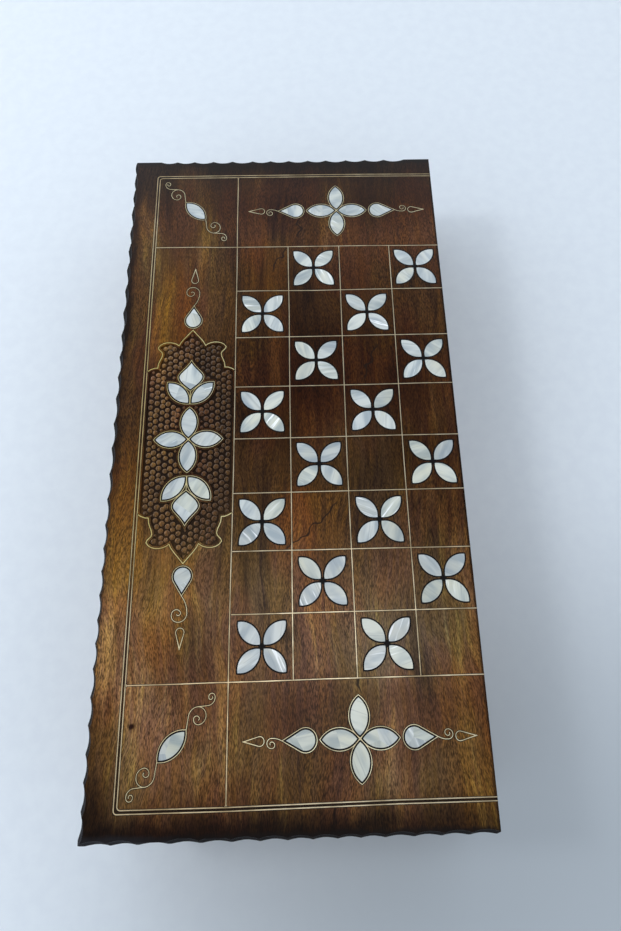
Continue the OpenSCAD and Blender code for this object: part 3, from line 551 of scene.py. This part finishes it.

# %% [markdown]
# ## Where the lid's colour wanders
#
# The patches were placed against the photograph. Each row says how strong a patch is, where
# its middle lies, in millimetres from a line of the board and from mid-length, and how far it
# reaches across and along.

# %% Tints and patches
GOLDEN = colour(302, 278, 206)
DARKER = colour(200, 184, 169)
# A tint that makes the wood paler and cooler, used to paint the lacquer's sheen.
PAINTED_SHEEN = colour(300, 309, 325)
OLIVE = colour(288, 309, 318)
GREYER = colour(236, 249, 266)
KNOT = colour(84, 66, 70)
LID_TINTS = (
    (GOLDEN, (
        (0.9, PANEL_X, -15, 95, 20, 70),
        (0.8, GRID_X, 20, 140, 30, 34),
        (0.7, PANEL_X, -12, -110, 30, 60),
        (0.6, GRID_X, 55, -60, 40, 34),
        (0.9, FRONT_EDGE, 15, -60, 24, 80),
        (0.6, HINGE_EDGE, -14, -195, 26, 70))),
    (DARKER, (
        (0.9, GRID_X, 100, 90, 110, 100),
        (0.8, GRID_X, 30, 60, 50, 110),
        (0.6, PANEL_X, 20, 20, 22, 70),
        (0.9, GRID_X, 90, 50, 100, 62),
        (0.9, GRID_X, 60, 215, 170, 60),
        (0.9, GRID_X, 135, 10, 48, 62),
        (0.5, GRID_X, 20, -228, 90, 26),
        (0.9, GRID_X, 142, -35, 34, 60),
        (0.9, GRID_X, 35, 18, 62, 36),
        (0.6, GRID_X, 60, 62, 150, 40),
        (0.9, GRID_X, 130, 208, 62, 46),
        (1.0, GRID_X, 58, -188, 46, 44),
        (0.5, PANEL_X, 5, -140, 34, 34),
        (0.5, GRID_X, 60, -100, 34, 30),
        (0.5, GRID_X, 104, -188, 44, 36),
        (0.4, GRID_X, 60, -20, 90, 36),
        (0.6, FRONT_EDGE, 30, 20, 50, 90),
        (0.6, GRID_X, 20, 220, 200, 44),
        (0.9, FRONT_EDGE, 11, -198, 20, 62))),
    # Painted sheen: paler, cooler patches on the near half stand in for the lacquer's sheen.
    (PAINTED_SHEEN, (
        (0.85, GRID_X, 20, -160, 180, 110),
        (0.8, GRID_X, 80, -130, 110, 70),
        (0.8, GRID_X, 100, -205, 110, 34),
        (0.8, FRONT_EDGE, 24, -140, 48, 120),
        (0.8, GRID_X, 100, -140, 34, 30))),
    (OLIVE, (
        (0.8, PANEL_X, 0, -92, 100, 62),
        (0.5, PANEL_X, -20, -205, 80, 40))),
    (GREYER, (
        (0.8, GRID_X, 100, -180, 110, 80),
        (0.9, GRID_X, 120, -20, 80, 100),
        (0.7, PANEL_X, -10, -132, 56, 66),
        (0.9, GRID_X, 118, -112, 56, 62))),
    (KNOT, ((1.0, GRID_X, -59.3, -184.2, 2.9, 2.5),)),
)
BASE_TINTS = (
    (GOLDEN, ((0.7, 0, 40, 60, 24, 110), (0.5, 0, -70, -120, 20, 80))),
    (DARKER, ((0.8, 0, 90, -60, 50, 150),)),
)


def patches_of(tints, face):
    """The patches of a table as (tint, strength, middle, reach), in metres and on a plate's face."""
    return [
        (tint, strength, (line + across*MM, along*MM, face), (wide*MM, long*MM, 1))
        for tint, rows in tints
        for strength, line, across, along, wide, long in rows
    ]


lid_patches = patches_of(LID_TINTS, LID_FACE)
base_patches = patches_of(BASE_TINTS, BASE_FACE)
print("patches:", len(lid_patches), "on the lid and", len(base_patches), "on the base")

# %% Cracks, and the two plates' walnut
# Each crack: its middle in millimetres from the grid's corner and mid-length, slant, half length.
LID_CRACKS = (
    (54, -64, 43, 30),
    (100.5, 58, 73, 19),
    (33, 149, 59, 15),
    (49, 177, 85, 10),
    (81.5, -164.5, -78, 5.5),
)
lid_cracks = [
    ((GRID_X + across*MM, along*MM, LID_FACE), math.radians(slant), half*MM)
    for across, along, slant, half in LID_CRACKS
]
lid_walnut = plate_walnut("lid walnut", LID_FACE, LID_SEED, lid_patches, lid_cracks)
base_walnut = plate_walnut("base walnut", BASE_FACE, BASE_SEED, base_patches)
print("plate walnut:", len(lid_walnut.node_tree.nodes), "nodes on the lid")

# %% [markdown]
# ## Plainer woods
#
# The walls are the same walnut with no inlay. The field inside is a satin veneer. Its points are
# pale maple and dyed black wood, and the end rails are a darker walnut. The grain of the two end
# walls and the rails runs across the board, because a joiner lays it along each piece.

# %% Plain wood materials
WALNUTS = (WALNUT_DARK, WALNUT_MIDDLE, WALNUT_LIGHT)
FIELD = (colour(62, 38, 24), colour(98, 62, 38), colour(128, 86, 54))
RAIL = (colour(36, 22, 16), colour(60, 38, 24), colour(82, 54, 34))
MAPLE = (colour(170, 132, 88), colour(196, 160, 112), colour(214, 182, 136))
BLACK_WOOD = (colour(18, 14, 13), colour(30, 23, 20), colour(44, 34, 29))


def plain_wood(name, colours, seed, across=False, grain=0.6, pores=0.5, coat=0.3):
    """Wood with no inlay. Where the grain runs across the board, the place is turned first."""
    made, tree, place = new_material(name)
    if across:
        quarter = (0, 0, math.pi/2)
        place = add(tree, "ShaderNodeMapping", {"Vector": place, "Rotation": quarter}).outputs[0]
    dark, middle, light = colours
    figure = place_group(tree, wood_group, {
        "Place": place, "Seed": seed, "Dark": dark, "Middle": middle, "Light": light,
        "Grain": grain, "Pores": pores})
    close_material(tree, figure["Color"], 0.42, figure["Height"],
                   Specular_IOR_Level=0.3, Coat_Weight=coat, Coat_Roughness=0.25)
    return made


wall_walnut = plain_wood("wall walnut", WALNUTS, 5.1)
end_wall_walnut = plain_wood("end wall walnut", WALNUTS, 6.4, across=True)
field_walnut = plain_wood("field walnut", FIELD, 8.3, coat=0.1)
rail_walnut = plain_wood("rail walnut", RAIL, 9.6, across=True)
point_maple = plain_wood("point maple", MAPLE, 2.2, grain=0.25, pores=0.12, coat=0.1)
point_black = plain_wood("point black wood", BLACK_WOOD, 4.9, pores=0.4, coat=0.1)
print("plain woods:", ", ".join(m.name for m in (wall_walnut, field_walnut, rail_walnut, point_maple)))

# %% [markdown]
# ## Mother of pearl
#
# Each petal is sawn from another shell or another part of it, so each has its own tone and its own
# direction of shimmer. The square petals stand on a lattice of 20 mm, one to each quarter of a
# square, so a random number for each lattice cell is a random number for each petal. The other
# motifs lie off the lattice, and take theirs from loose cells of about that size. The shimmer is
# soft bands of noise, turned by that number, in cool white, silver and, on some petals, a breath
# of ivory. Bright glints on some petals are painted highlights, and the pearl is painted brighter
# towards the far end, as a painted reflection of a brighter sky.

# %% Nacre, as a group
SILVER = colour(158, 169, 176)
COOL_WHITE = colour(204, 209, 208)
CLOUD = colour(206, 206, 194)
IVORY = colour(261, 259, 248)
GROWTH_LINE = colour(140, 148, 152)
PAINTED_GLINT = colour(250, 253, 255)
nacre_group, nacre_in, nacre_out = new_group(
    "nacre", [("Place", VECTOR, None), ("Random", VECTOR, None)], [("Color", COLOUR), ("Height", FLOAT)])


def draw_nacre(tree, given, result):
    chance = parts(tree, given.outputs["Random"])
    along = parts(tree, given.outputs["Place"])["Y"]
    place = turned(tree, given.outputs["Place"], maths(tree, "MULTIPLY", chance["X"], math.tau))
    bands = stretched_noise(tree, place, (170, 40, 90), 2.0, 0.5, chance["Y"])
    growth = stretched_noise(tree, place, (900, 30, 90), 2.0, 0.5, chance["Y"])
    cloud = stretched_noise(tree, place, (110, 60, 60), 2.0, 0.5, chance["Z"])
    glint = stretched_noise(tree, place, (420, 45, 120), 2.0, 0.5, chance["Z"])

    tone = blend(tree, ramp(tree, bands, 0.34, 0.66), SILVER, COOL_WHITE)
    tone = blend(tree, ramp(tree, cloud, 0.44, 0.72, 0.0, 0.6), tone, CLOUD)
    nearer = ramp(tree, along, -100*MM, 200*MM, 1.0, 0.3)
    warm = maths(tree, "MULTIPLY", ramp(tree, chance["X"], 0.45, 0.62), nearer)
    tone = blend(tree, warm, tone, IVORY, "MULTIPLY")
    tone = blend(tree, ramp(tree, growth, 0.56, 0.68, 0.0, 0.35), tone, GROWTH_LINE)
    # Painted highlight: bright glints painted into the colour of some petals.
    bright = maths(tree, "MULTIPLY", ramp(tree, glint, 0.56, 0.68), ramp(tree, chance["Y"], 0.50, 0.95))
    tone = blend(tree, bright, tone, PAINTED_GLINT)
    level = ramp(tree, chance["Z"], 0.0, 1.0, 0.88, 1.04)
    # Painted reflection: the pearl is painted brighter towards the far end.
    level = maths(tree, "MULTIPLY", level, ramp(tree, along, -200*MM, 200*MM, 0.94, 1.16))
    tree.links.new(dimmed(tree, tone, level), result.inputs["Color"])
    height = maths(tree, "ADD", bands, maths(tree, "MULTIPLY", cloud, 1.5))
    tree.links.new(height, result.inputs["Height"])


draw_nacre(nacre_group, nacre_in, nacre_out)
print("nacre:", len(nacre_group.nodes), "nodes")


# %% The two pearl materials
def petal_chance(tree, place):
    """The random colour of the lattice cell that holds a square's petal."""
    return cell_chance(tree, place, SQUARE/2)["Color"]


def motif_chance(tree, place):
    """The random colour of a loose cell about 25 mm wide."""
    cells = {"Vector": place, "Scale": 40.0}
    return add(tree, "ShaderNodeTexVoronoi", cells, voronoi_dimensions="3D").outputs["Color"]


def pearl(name, chance):
    made, tree, place = new_material(name)
    nacre = place_group(tree, nacre_group, {"Place": place, "Random": chance(tree, place)})
    close_material(tree, nacre["Color"], 0.28, nacre["Height"], 0.3, 0.2*MM,
                   Coat_Weight=0.3, Coat_Roughness=0.12)
    return made


square_pearl = pearl("square petal pearl", petal_chance)
motif_pearl = pearl("motif pearl", motif_chance)
print("pearl:", square_pearl.name, "and", motif_pearl.name)

# %% [markdown]
# ## Wire, mastic and brass
#
# The wire is a pale yellow alloy, hammered flat and rubbed down with the wood, so it is dull, with
# lighter and darker spells along it. It is yellower by the cartouche, rubbed brighter at the near
# left, and duller at the far end. The mastic is a dark resin with dust of the wood in it. The
# hinges and hooks are ordinary stamped and turned brass.

# %% Wire
YELLOWED = colour(240, 228, 184)
RUBBED = colour(275, 267, 255)
DULLED = colour(230, 222, 206)


def wire_material(name, dull, bright):
    made, tree, place = new_material(name)
    spots = stretched_noise(tree, place, (70, 70, 70))
    tone = blend(tree, ramp(tree, spots, 0.30, 0.70), dull, bright)
    by_cartouche = patch(tree, place, (PANEL_X - 30*MM, 20*MM, LID_FACE), (62*MM, 170*MM, 1))
    by_cartouche = maths(tree, "MULTIPLY", by_cartouche, 0.9)
    near_left = patch(tree, place, (FRONT_EDGE + 40*MM, -185*MM, LID_FACE), (110*MM, 110*MM, 1))
    far_end = ramp(tree, parts(tree, place)["Y"], 120*MM, 240*MM)
    for mask, tint in ((by_cartouche, YELLOWED), (near_left, RUBBED), (far_end, DULLED)):
        tone = blend(tree, mask, tone, tint, "MULTIPLY")
    rough = ramp(tree, spots, 0.3, 0.7, 0.44, 0.34)
    close_material(tree, tone, rough, spots, 0.05, Metallic=0.6)
    return made


inlay_wire = wire_material("inlay wire", colour(174, 155, 122), colour(238, 221, 187))
cartouche_wire = wire_material("cartouche wire", colour(204, 184, 126), colour(252, 238, 178))
motif_wire = wire_material("motif wire", colour(200, 186, 150), colour(250, 242, 206))
print("wires:", inlay_wire.name, cartouche_wire.name, motif_wire.name)


# %% Brass and mastic
def brass_material():
    made, tree, place = new_material("hardware brass")
    brushed = stretched_noise(tree, place, (900, 160, 900))
    tone = blend(tree, ramp(tree, brushed, 0.30, 0.70), colour(156, 118, 56), colour(206, 170, 96))
    rough = ramp(tree, brushed, 0.3, 0.7, 0.36, 0.26)
    close_material(tree, tone, rough, brushed, 0.1, Metallic=1.0)
    return made


def mastic_material():
    made, tree, place = new_material("mastic")
    dust = stretched_noise(tree, place, (1600, 1600, 1600), 2.0)
    tone = blend(tree, ramp(tree, dust, 0.45, 0.75), colour(12, 11, 12), colour(24, 20, 18))
    close_material(tree, tone, 0.5, dust, 0.15, Specular_IOR_Level=0.12)
    return made


hardware_brass = brass_material()
mastic = mastic_material()
print("and", hardware_brass.name, "and", mastic.name)

# %% [markdown]
# ## Give every solid its finish
#
# The solids keep their names from the model, and the part of the name after the half says what the
# piece is. The plates have a material each, and everything else shares.

# %% Assign the materials
FINISH = {
    "front_wall": wall_walnut, "hinge_wall": wall_walnut,
    "far_wall": end_wall_walnut, "near_wall": end_wall_walnut,
    "field": field_walnut, "light_points": point_maple, "dark_points": point_black,
    "far_rail": rail_walnut, "near_rail": rail_walnut,
    "square_pearl": square_pearl, "motif_pearl": motif_pearl, "mastic": mastic,
    "border_wire": inlay_wire, "grid_wire": inlay_wire,
    "motif_wire": motif_wire, "cartouche_wire": cartouche_wire,
}


def finish_of(name):
    if name == "lid_plate":
        return lid_walnut
    if name == "base_plate":
        return base_walnut
    return FINISH.get(name.partition("_")[2], hardware_brass)


for name, solid in board.items():
    for slot in solid.material_slots:
        slot.material = finish_of(name)
print("finished", len(board), "solids")

# %% [markdown]
# ## Dark lines beside the wires
#
# A wire lies in a groove a little wider than itself, and dust and polish fill the gap with a dark
# hairline. The hairlines are traced: the border of each wire's polished top is walked vertex by
# vertex, and a ribbon a quarter of a millimetre wide is laid outside it. Where a wire runs out at
# the hinge edge the ribbon stops short of it, so the two halves don't touch when they lie open. On
# the rings round the pearl the ribbon also covers a tenth of a millimetre of the wire.

# %% Trace the borders of a wire's top
def top_borders(name, face):
    """The closed border loops of a solid's flat top, as lists of (point, direction outwards)."""
    shape = bmesh.new()
    shape.from_mesh(board[name].data)
    bmesh.ops.remove_doubles(shape, verts=shape.verts, dist=1e-6)
    tops = {f for f in shape.faces if all(abs(v.co.z - face) < 1e-5 for v in f.verts)}
    following, outward = {}, {}
    for top in tops:
        for corner in top.loops:
            if sum(f in tops for f in corner.edge.link_faces) == 1:
                here, there = corner.vert, corner.link_loop_next.vert
                following[here] = there
                outward[here] = (there.co - here.co).normalized().cross(top.normal)
    borders = []
    while following:
        first = next(iter(following))
        walk = [first]
        while walk[-1] in following:
            walk.append(following.pop(walk[-1]))
        walk.pop()
        sides = [outward[v] for v in walk]
        border = []
        for k, vert in enumerate(walk):
            before, after = sides[k - 1], sides[k]
            border.append((vert.co.copy(), (before + after)/max(1 + before.dot(after), 0.5)))
        borders.append(border)
    shape.free()
    return borders


print("the lid's border wire has", len(top_borders("lid_border_wire", LID_FACE)), "border loops")

# %% Lay the ribbons
LINE_WIDTH = 0.28*MM
LINE_COVER = 0.10*MM
LINE_LIFT = 0.015*MM
HINGE_GAP = 0.02*MM
HINGE_GAP_INSIDE = 0.10*MM
WIRES = ("border_wire", "grid_wire", "motif_wire", "cartouche_wire")


def new_piece(name, shape, material):
    """Makes a finished bmesh a piece of the scene, with its place in its mesh."""
    mesh = bpy.data.meshes.new(name)
    shape.to_mesh(mesh)
    shape.free()
    mesh.materials.append(material)
    piece = bpy.data.objects.new(name, mesh)
    bpy.context.scene.collection.objects.link(piece)
    return piece


def dark_lines(name, half, face, into, body):
    shape = bmesh.new()
    for wire in WIRES:
        cover = LINE_COVER if wire == "motif_wire" else 0.0
        for border in top_borders(half + wire, face):
            rings = []
            for edge, away in border:
                point, outer = edge - away*cover, edge + away*LINE_WIDTH
                point.x = min(point.x, HINGE_EDGE - HINGE_GAP_INSIDE)
                outer.x = min(outer.x, HINGE_EDGE - HINGE_GAP)
                corners = [(point, -into), (outer, -into), (outer, into), (point, into)]
                rings.append([shape.verts.new((p.x, p.y, face + lift*LINE_LIFT)) for p, lift in corners])
            for k, ring in enumerate(rings):
                last = rings[k - 1]
                for c in range(4):
                    shape.faces.new((last[c], ring[c], ring[(c + 1)%4], last[(c + 1)%4]))
    bmesh.ops.recalc_face_normals(shape, faces=shape.faces)
    piece = new_piece(name, shape, mastic)
    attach(piece, body)
    print(name, len(piece.data.polygons), "faces")


dark_lines("lid_dark_lines", "lid_", LID_FACE, -1, "upper_half")
dark_lines("base_dark_lines", "base_", BASE_FACE, 1, "lower_half")

# %% [markdown]
# ## Pebbled ground
#
# The carver lowered the ground of the cartouche and struck it all over with a hollow punch, which
# leaves lines of low round pebbles. There are hundreds, each a little out of line. Every pebble is
# a flattened sphere, half sunk in the ground. Where one may stand is asked of the solid itself:
# rays fall on the plate round the pebble's edge, and all of them must land on the lowered ground.

# %% Find the places of the pebbles
CARVE = 0.8*MM
CARTOUCHE_END = 87*MM
PEBBLE = 1.92*MM
COLUMN = 4.0*MM
STEP = 4.6*MM
EIGHTHS = [math.tau*k/8 for k in range(9)]


def ground_test(plate, face, into):
    """A test that says whether a disc of radius r at (x, y) lies wholly on the lowered ground."""
    copy = bmesh.new()
    copy.from_mesh(board[plate].data)
    tree = BVHTree.FromBMesh(copy)
    copy.free()
    start, target = face - 5*MM*into, face + CARVE*into

    def on_ground(x, y, r):
        for k, turn in enumerate(EIGHTHS):
            spread = r if k else 0.0
            ray = Vector((x + spread*math.cos(turn), y + spread*math.sin(turn), start))
            hit = tree.ray_cast(ray, Vector((0, 0, into)), 20*MM)[0]
            if hit is None or abs(hit.z - target) > 0.05*MM:
                return False
        return True
    return on_ground


def fit_pebble(on_ground, x, y, radius):
    """The largest pebble that fits at or beside (x, y), as (x, y, radius), or None."""
    for share in (1.0, 0.86, 0.72, 0.58, 0.44):
        for k, turn in enumerate(EIGHTHS):
            away = 0.9*MM*(k > 0)
            there = (x + away*math.cos(turn), y + away*math.sin(turn))
            if on_ground(*there, share*radius + 0.02*MM):
                return (*there, share*radius)
    return None


def pebble_places(on_ground, seed):
    chance = random.Random(seed)
    places = []
    steps = int(CARTOUCHE_END/STEP) + 1
    for column in range(-8, 9):
        for step in range(-steps, steps + 1):
            x = PANEL_X + column*COLUMN + chance.uniform(-0.50, 0.50)*MM
            y = (step + 0.5*(column % 2))*STEP + chance.uniform(-0.55, 0.55)*MM
            radius = PEBBLE*chance.uniform(0.88, 1.06)
            found = fit_pebble(on_ground, x, y, radius)
            if found:
                places.append((*found, chance.uniform(0, math.tau)))
    return places


print("pebbles are about", round(2*PEBBLE/MM, 2), "mm across and", COLUMN/MM, "mm apart")


# %% Strike the pebbles
PEBBLE_RISE = 0.74*MM
PEBBLE_OVAL = 0.96


def pebble_shape():
    """One pebble of radius 1: a sphere whose sides are steeper and whose top is flatter."""
    shape = bmesh.new()
    bmesh.ops.create_uvsphere(shape, u_segments=12, v_segments=6, radius=1)
    for vert in shape.verts:
        across = math.hypot(vert.co.x, vert.co.y)
        if across > 1e-6:
            spread = across**0.72/across
            vert.co.x *= spread
            vert.co.y *= spread
        vert.co.z = math.copysign(abs(vert.co.z)**0.85, vert.co.z)
    mesh = bpy.data.meshes.new("pebble")
    shape.to_mesh(mesh)
    shape.free()
    return mesh


def pebbles(name, plate, face, into, body, material, seed):
    places = pebble_places(ground_test(plate, face, into), seed)
    one = pebble_shape()
    shape = bmesh.new()
    for x, y, radius, turn in places:
        size = Matrix.Diagonal((radius, radius*PEBBLE_OVAL, PEBBLE_RISE, 1))
        ground = Matrix.Translation((x, y, face + CARVE*into))
        copy = one.copy()
        copy.transform(ground @ Matrix.Rotation(turn, 4, "Z") @ size)
        shape.from_mesh(copy)
        bpy.data.meshes.remove(copy)
    bpy.data.meshes.remove(one)
    piece = new_piece(name, shape, material)
    piece.data.shade_smooth()
    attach(piece, body)
    print(name, len(places), "pebbles,", len(piece.data.polygons), "faces")


def pebble_walnut(name, seed):
    """Walnut that is rubbed bright on the pebbles, less so on the side towards the grid."""
    made, tree, place = new_material(name)
    figure = place_group(tree, wood_group, {
        "Place": place, "Seed": seed, "Dark": colour(82, 54, 29), "Middle": colour(112, 78, 42),
        "Light": colour(146, 106, 60), "Contrast": 1.2, "Pores": 0.3})
    wander = swing(tree, stretched_noise(tree, place, (40, 20, 40)), 40*MM)
    across = maths(tree, "ADD", parts(tree, place)["X"], wander)
    darker = ramp(tree, across, PANEL_X - 8*MM, PANEL_X + 14*MM, 0.0, 0.85)
    tint = blend(tree, darker, figure["Color"], colour(186, 178, 178), "MULTIPLY")
    close_material(tree, tint, 0.36, figure["Height"], 0.2,
                   Specular_IOR_Level=0.2, Coat_Weight=0.12, Coat_Roughness=0.14)
    return made


lid_ground = pebble_walnut("lid pebble walnut", LID_SEED)
base_ground = pebble_walnut("base pebble walnut", BASE_SEED)
pebbles("lid_pebbles", "lid_plate", LID_FACE, -1, "upper_half", lid_ground, 5)
pebbles("base_pebbles", "base_plate", BASE_FACE, 1, "lower_half", base_ground, 6)

# %% [markdown]
# ## Table and light
#
# The board lies on a pale table. A small key lamp stands to the left, so the shadow falls to the
# right, and a wider window lamp at the far left softens it. A broad lamp overhead lights the wood
# evenly. The world is bright towards the horizon, most of all at the far left, and dark straight
# above, where the lacquer would mirror it to the camera. A soft painted shadow darkens the table
# towards the near right. The table lies a hair below the board, so that the two don't share a
# plane.

# %% Table
TABLE_HALF = 2.0
TABLE_GAP = 0.03*MM
# The tone of the shadow painted on the table towards the near right.
PAINTED_SHADOW = colour(176, 184, 192)


def table_paint_and_shadow():
    made, tree, place = new_material("table")
    mottle = stretched_noise(tree, place, (90, 90, 90))
    tone = blend(tree, ramp(tree, mottle, 0.3, 0.7), colour(224, 231, 240), colour(228, 235, 243))
    # Painted shadow: a soft patch darkens the table towards the near right.
    painted_shadow = patch(tree, place, (0.24, -0.48, 0), (0.50, 0.50, 1), 0.0)
    tone = blend(tree, painted_shadow, tone, PAINTED_SHADOW)
    close_material(tree, tone, 0.6)
    return made


table_shape = bmesh.new()
bmesh.ops.create_grid(table_shape, x_segments=8, y_segments=8, size=TABLE_HALF)
bmesh.ops.translate(table_shape, vec=(0, 0, -TABLE_GAP), verts=table_shape.verts)
table = new_piece("table", table_shape, table_paint_and_shadow())
print("the table is", 2*TABLE_HALF, "m wide")


# %% Lamps
def soft_lamp(name, place, aim, size, power, tint):
    data = bpy.data.lights.new(name, "AREA")
    data.shape = "DISK"
    data.size = size
    data.energy = power
    data.color = tint
    lamp = bpy.data.objects.new(name, data)
    lamp.location = place
    lamp.rotation_euler = (Vector(aim) - Vector(place)).to_track_quat("-Z", "Y").to_euler()
    bpy.context.scene.collection.objects.link(lamp)
    print(name, "lamp,", power, "W")


soft_lamp("key", (-1.15, 0.30, 1.0), (0, 0, 0), 0.3, 4.6, (0.95, 0.98, 1.0))
soft_lamp("window", (-0.90, 1.70, 0.60), (0, 0, 0), 1.0, 1.6, (0.93, 0.97, 1.0))
soft_lamp("overhead", (0.10, -0.30, 1.9), (0.02, -0.1, 0), 0.8, 5.2, (1.0, 0.99, 0.97))


# %% World
SKY = (0.86, 0.93, 1.0, 1.0)
SKY_STRENGTH = 2.52
BRIGHT_SIDE = (-0.5, 0.85, 0)


def studio_world():
    world = bpy.data.worlds.new("studio")
    world.use_nodes = True
    tree = world.node_tree
    way = add(tree, "ShaderNodeTexCoord").outputs["Generated"]
    height = maths(tree, "ABSOLUTE", parts(tree, way)["Z"])
    side = vectors(tree, "DOT_PRODUCT", way, BRIGHT_SIDE)
    strength = ramp(tree, height, 0.3, 0.8, SKY_STRENGTH, 0.0)
    strength = maths(tree, "MULTIPLY", strength, ramp(tree, side, -1.0, 1.0, 0.5, 1.5))
    background = tree.nodes["Background"]
    background.inputs["Color"].default_value = SKY
    tree.links.new(strength, background.inputs["Strength"])
    return world


bpy.context.scene.world = studio_world()
bpy.context.scene.view_settings.view_transform = "Standard"
print("the world's strength at the horizon is up to", round(1.5*SKY_STRENGTH, 2))
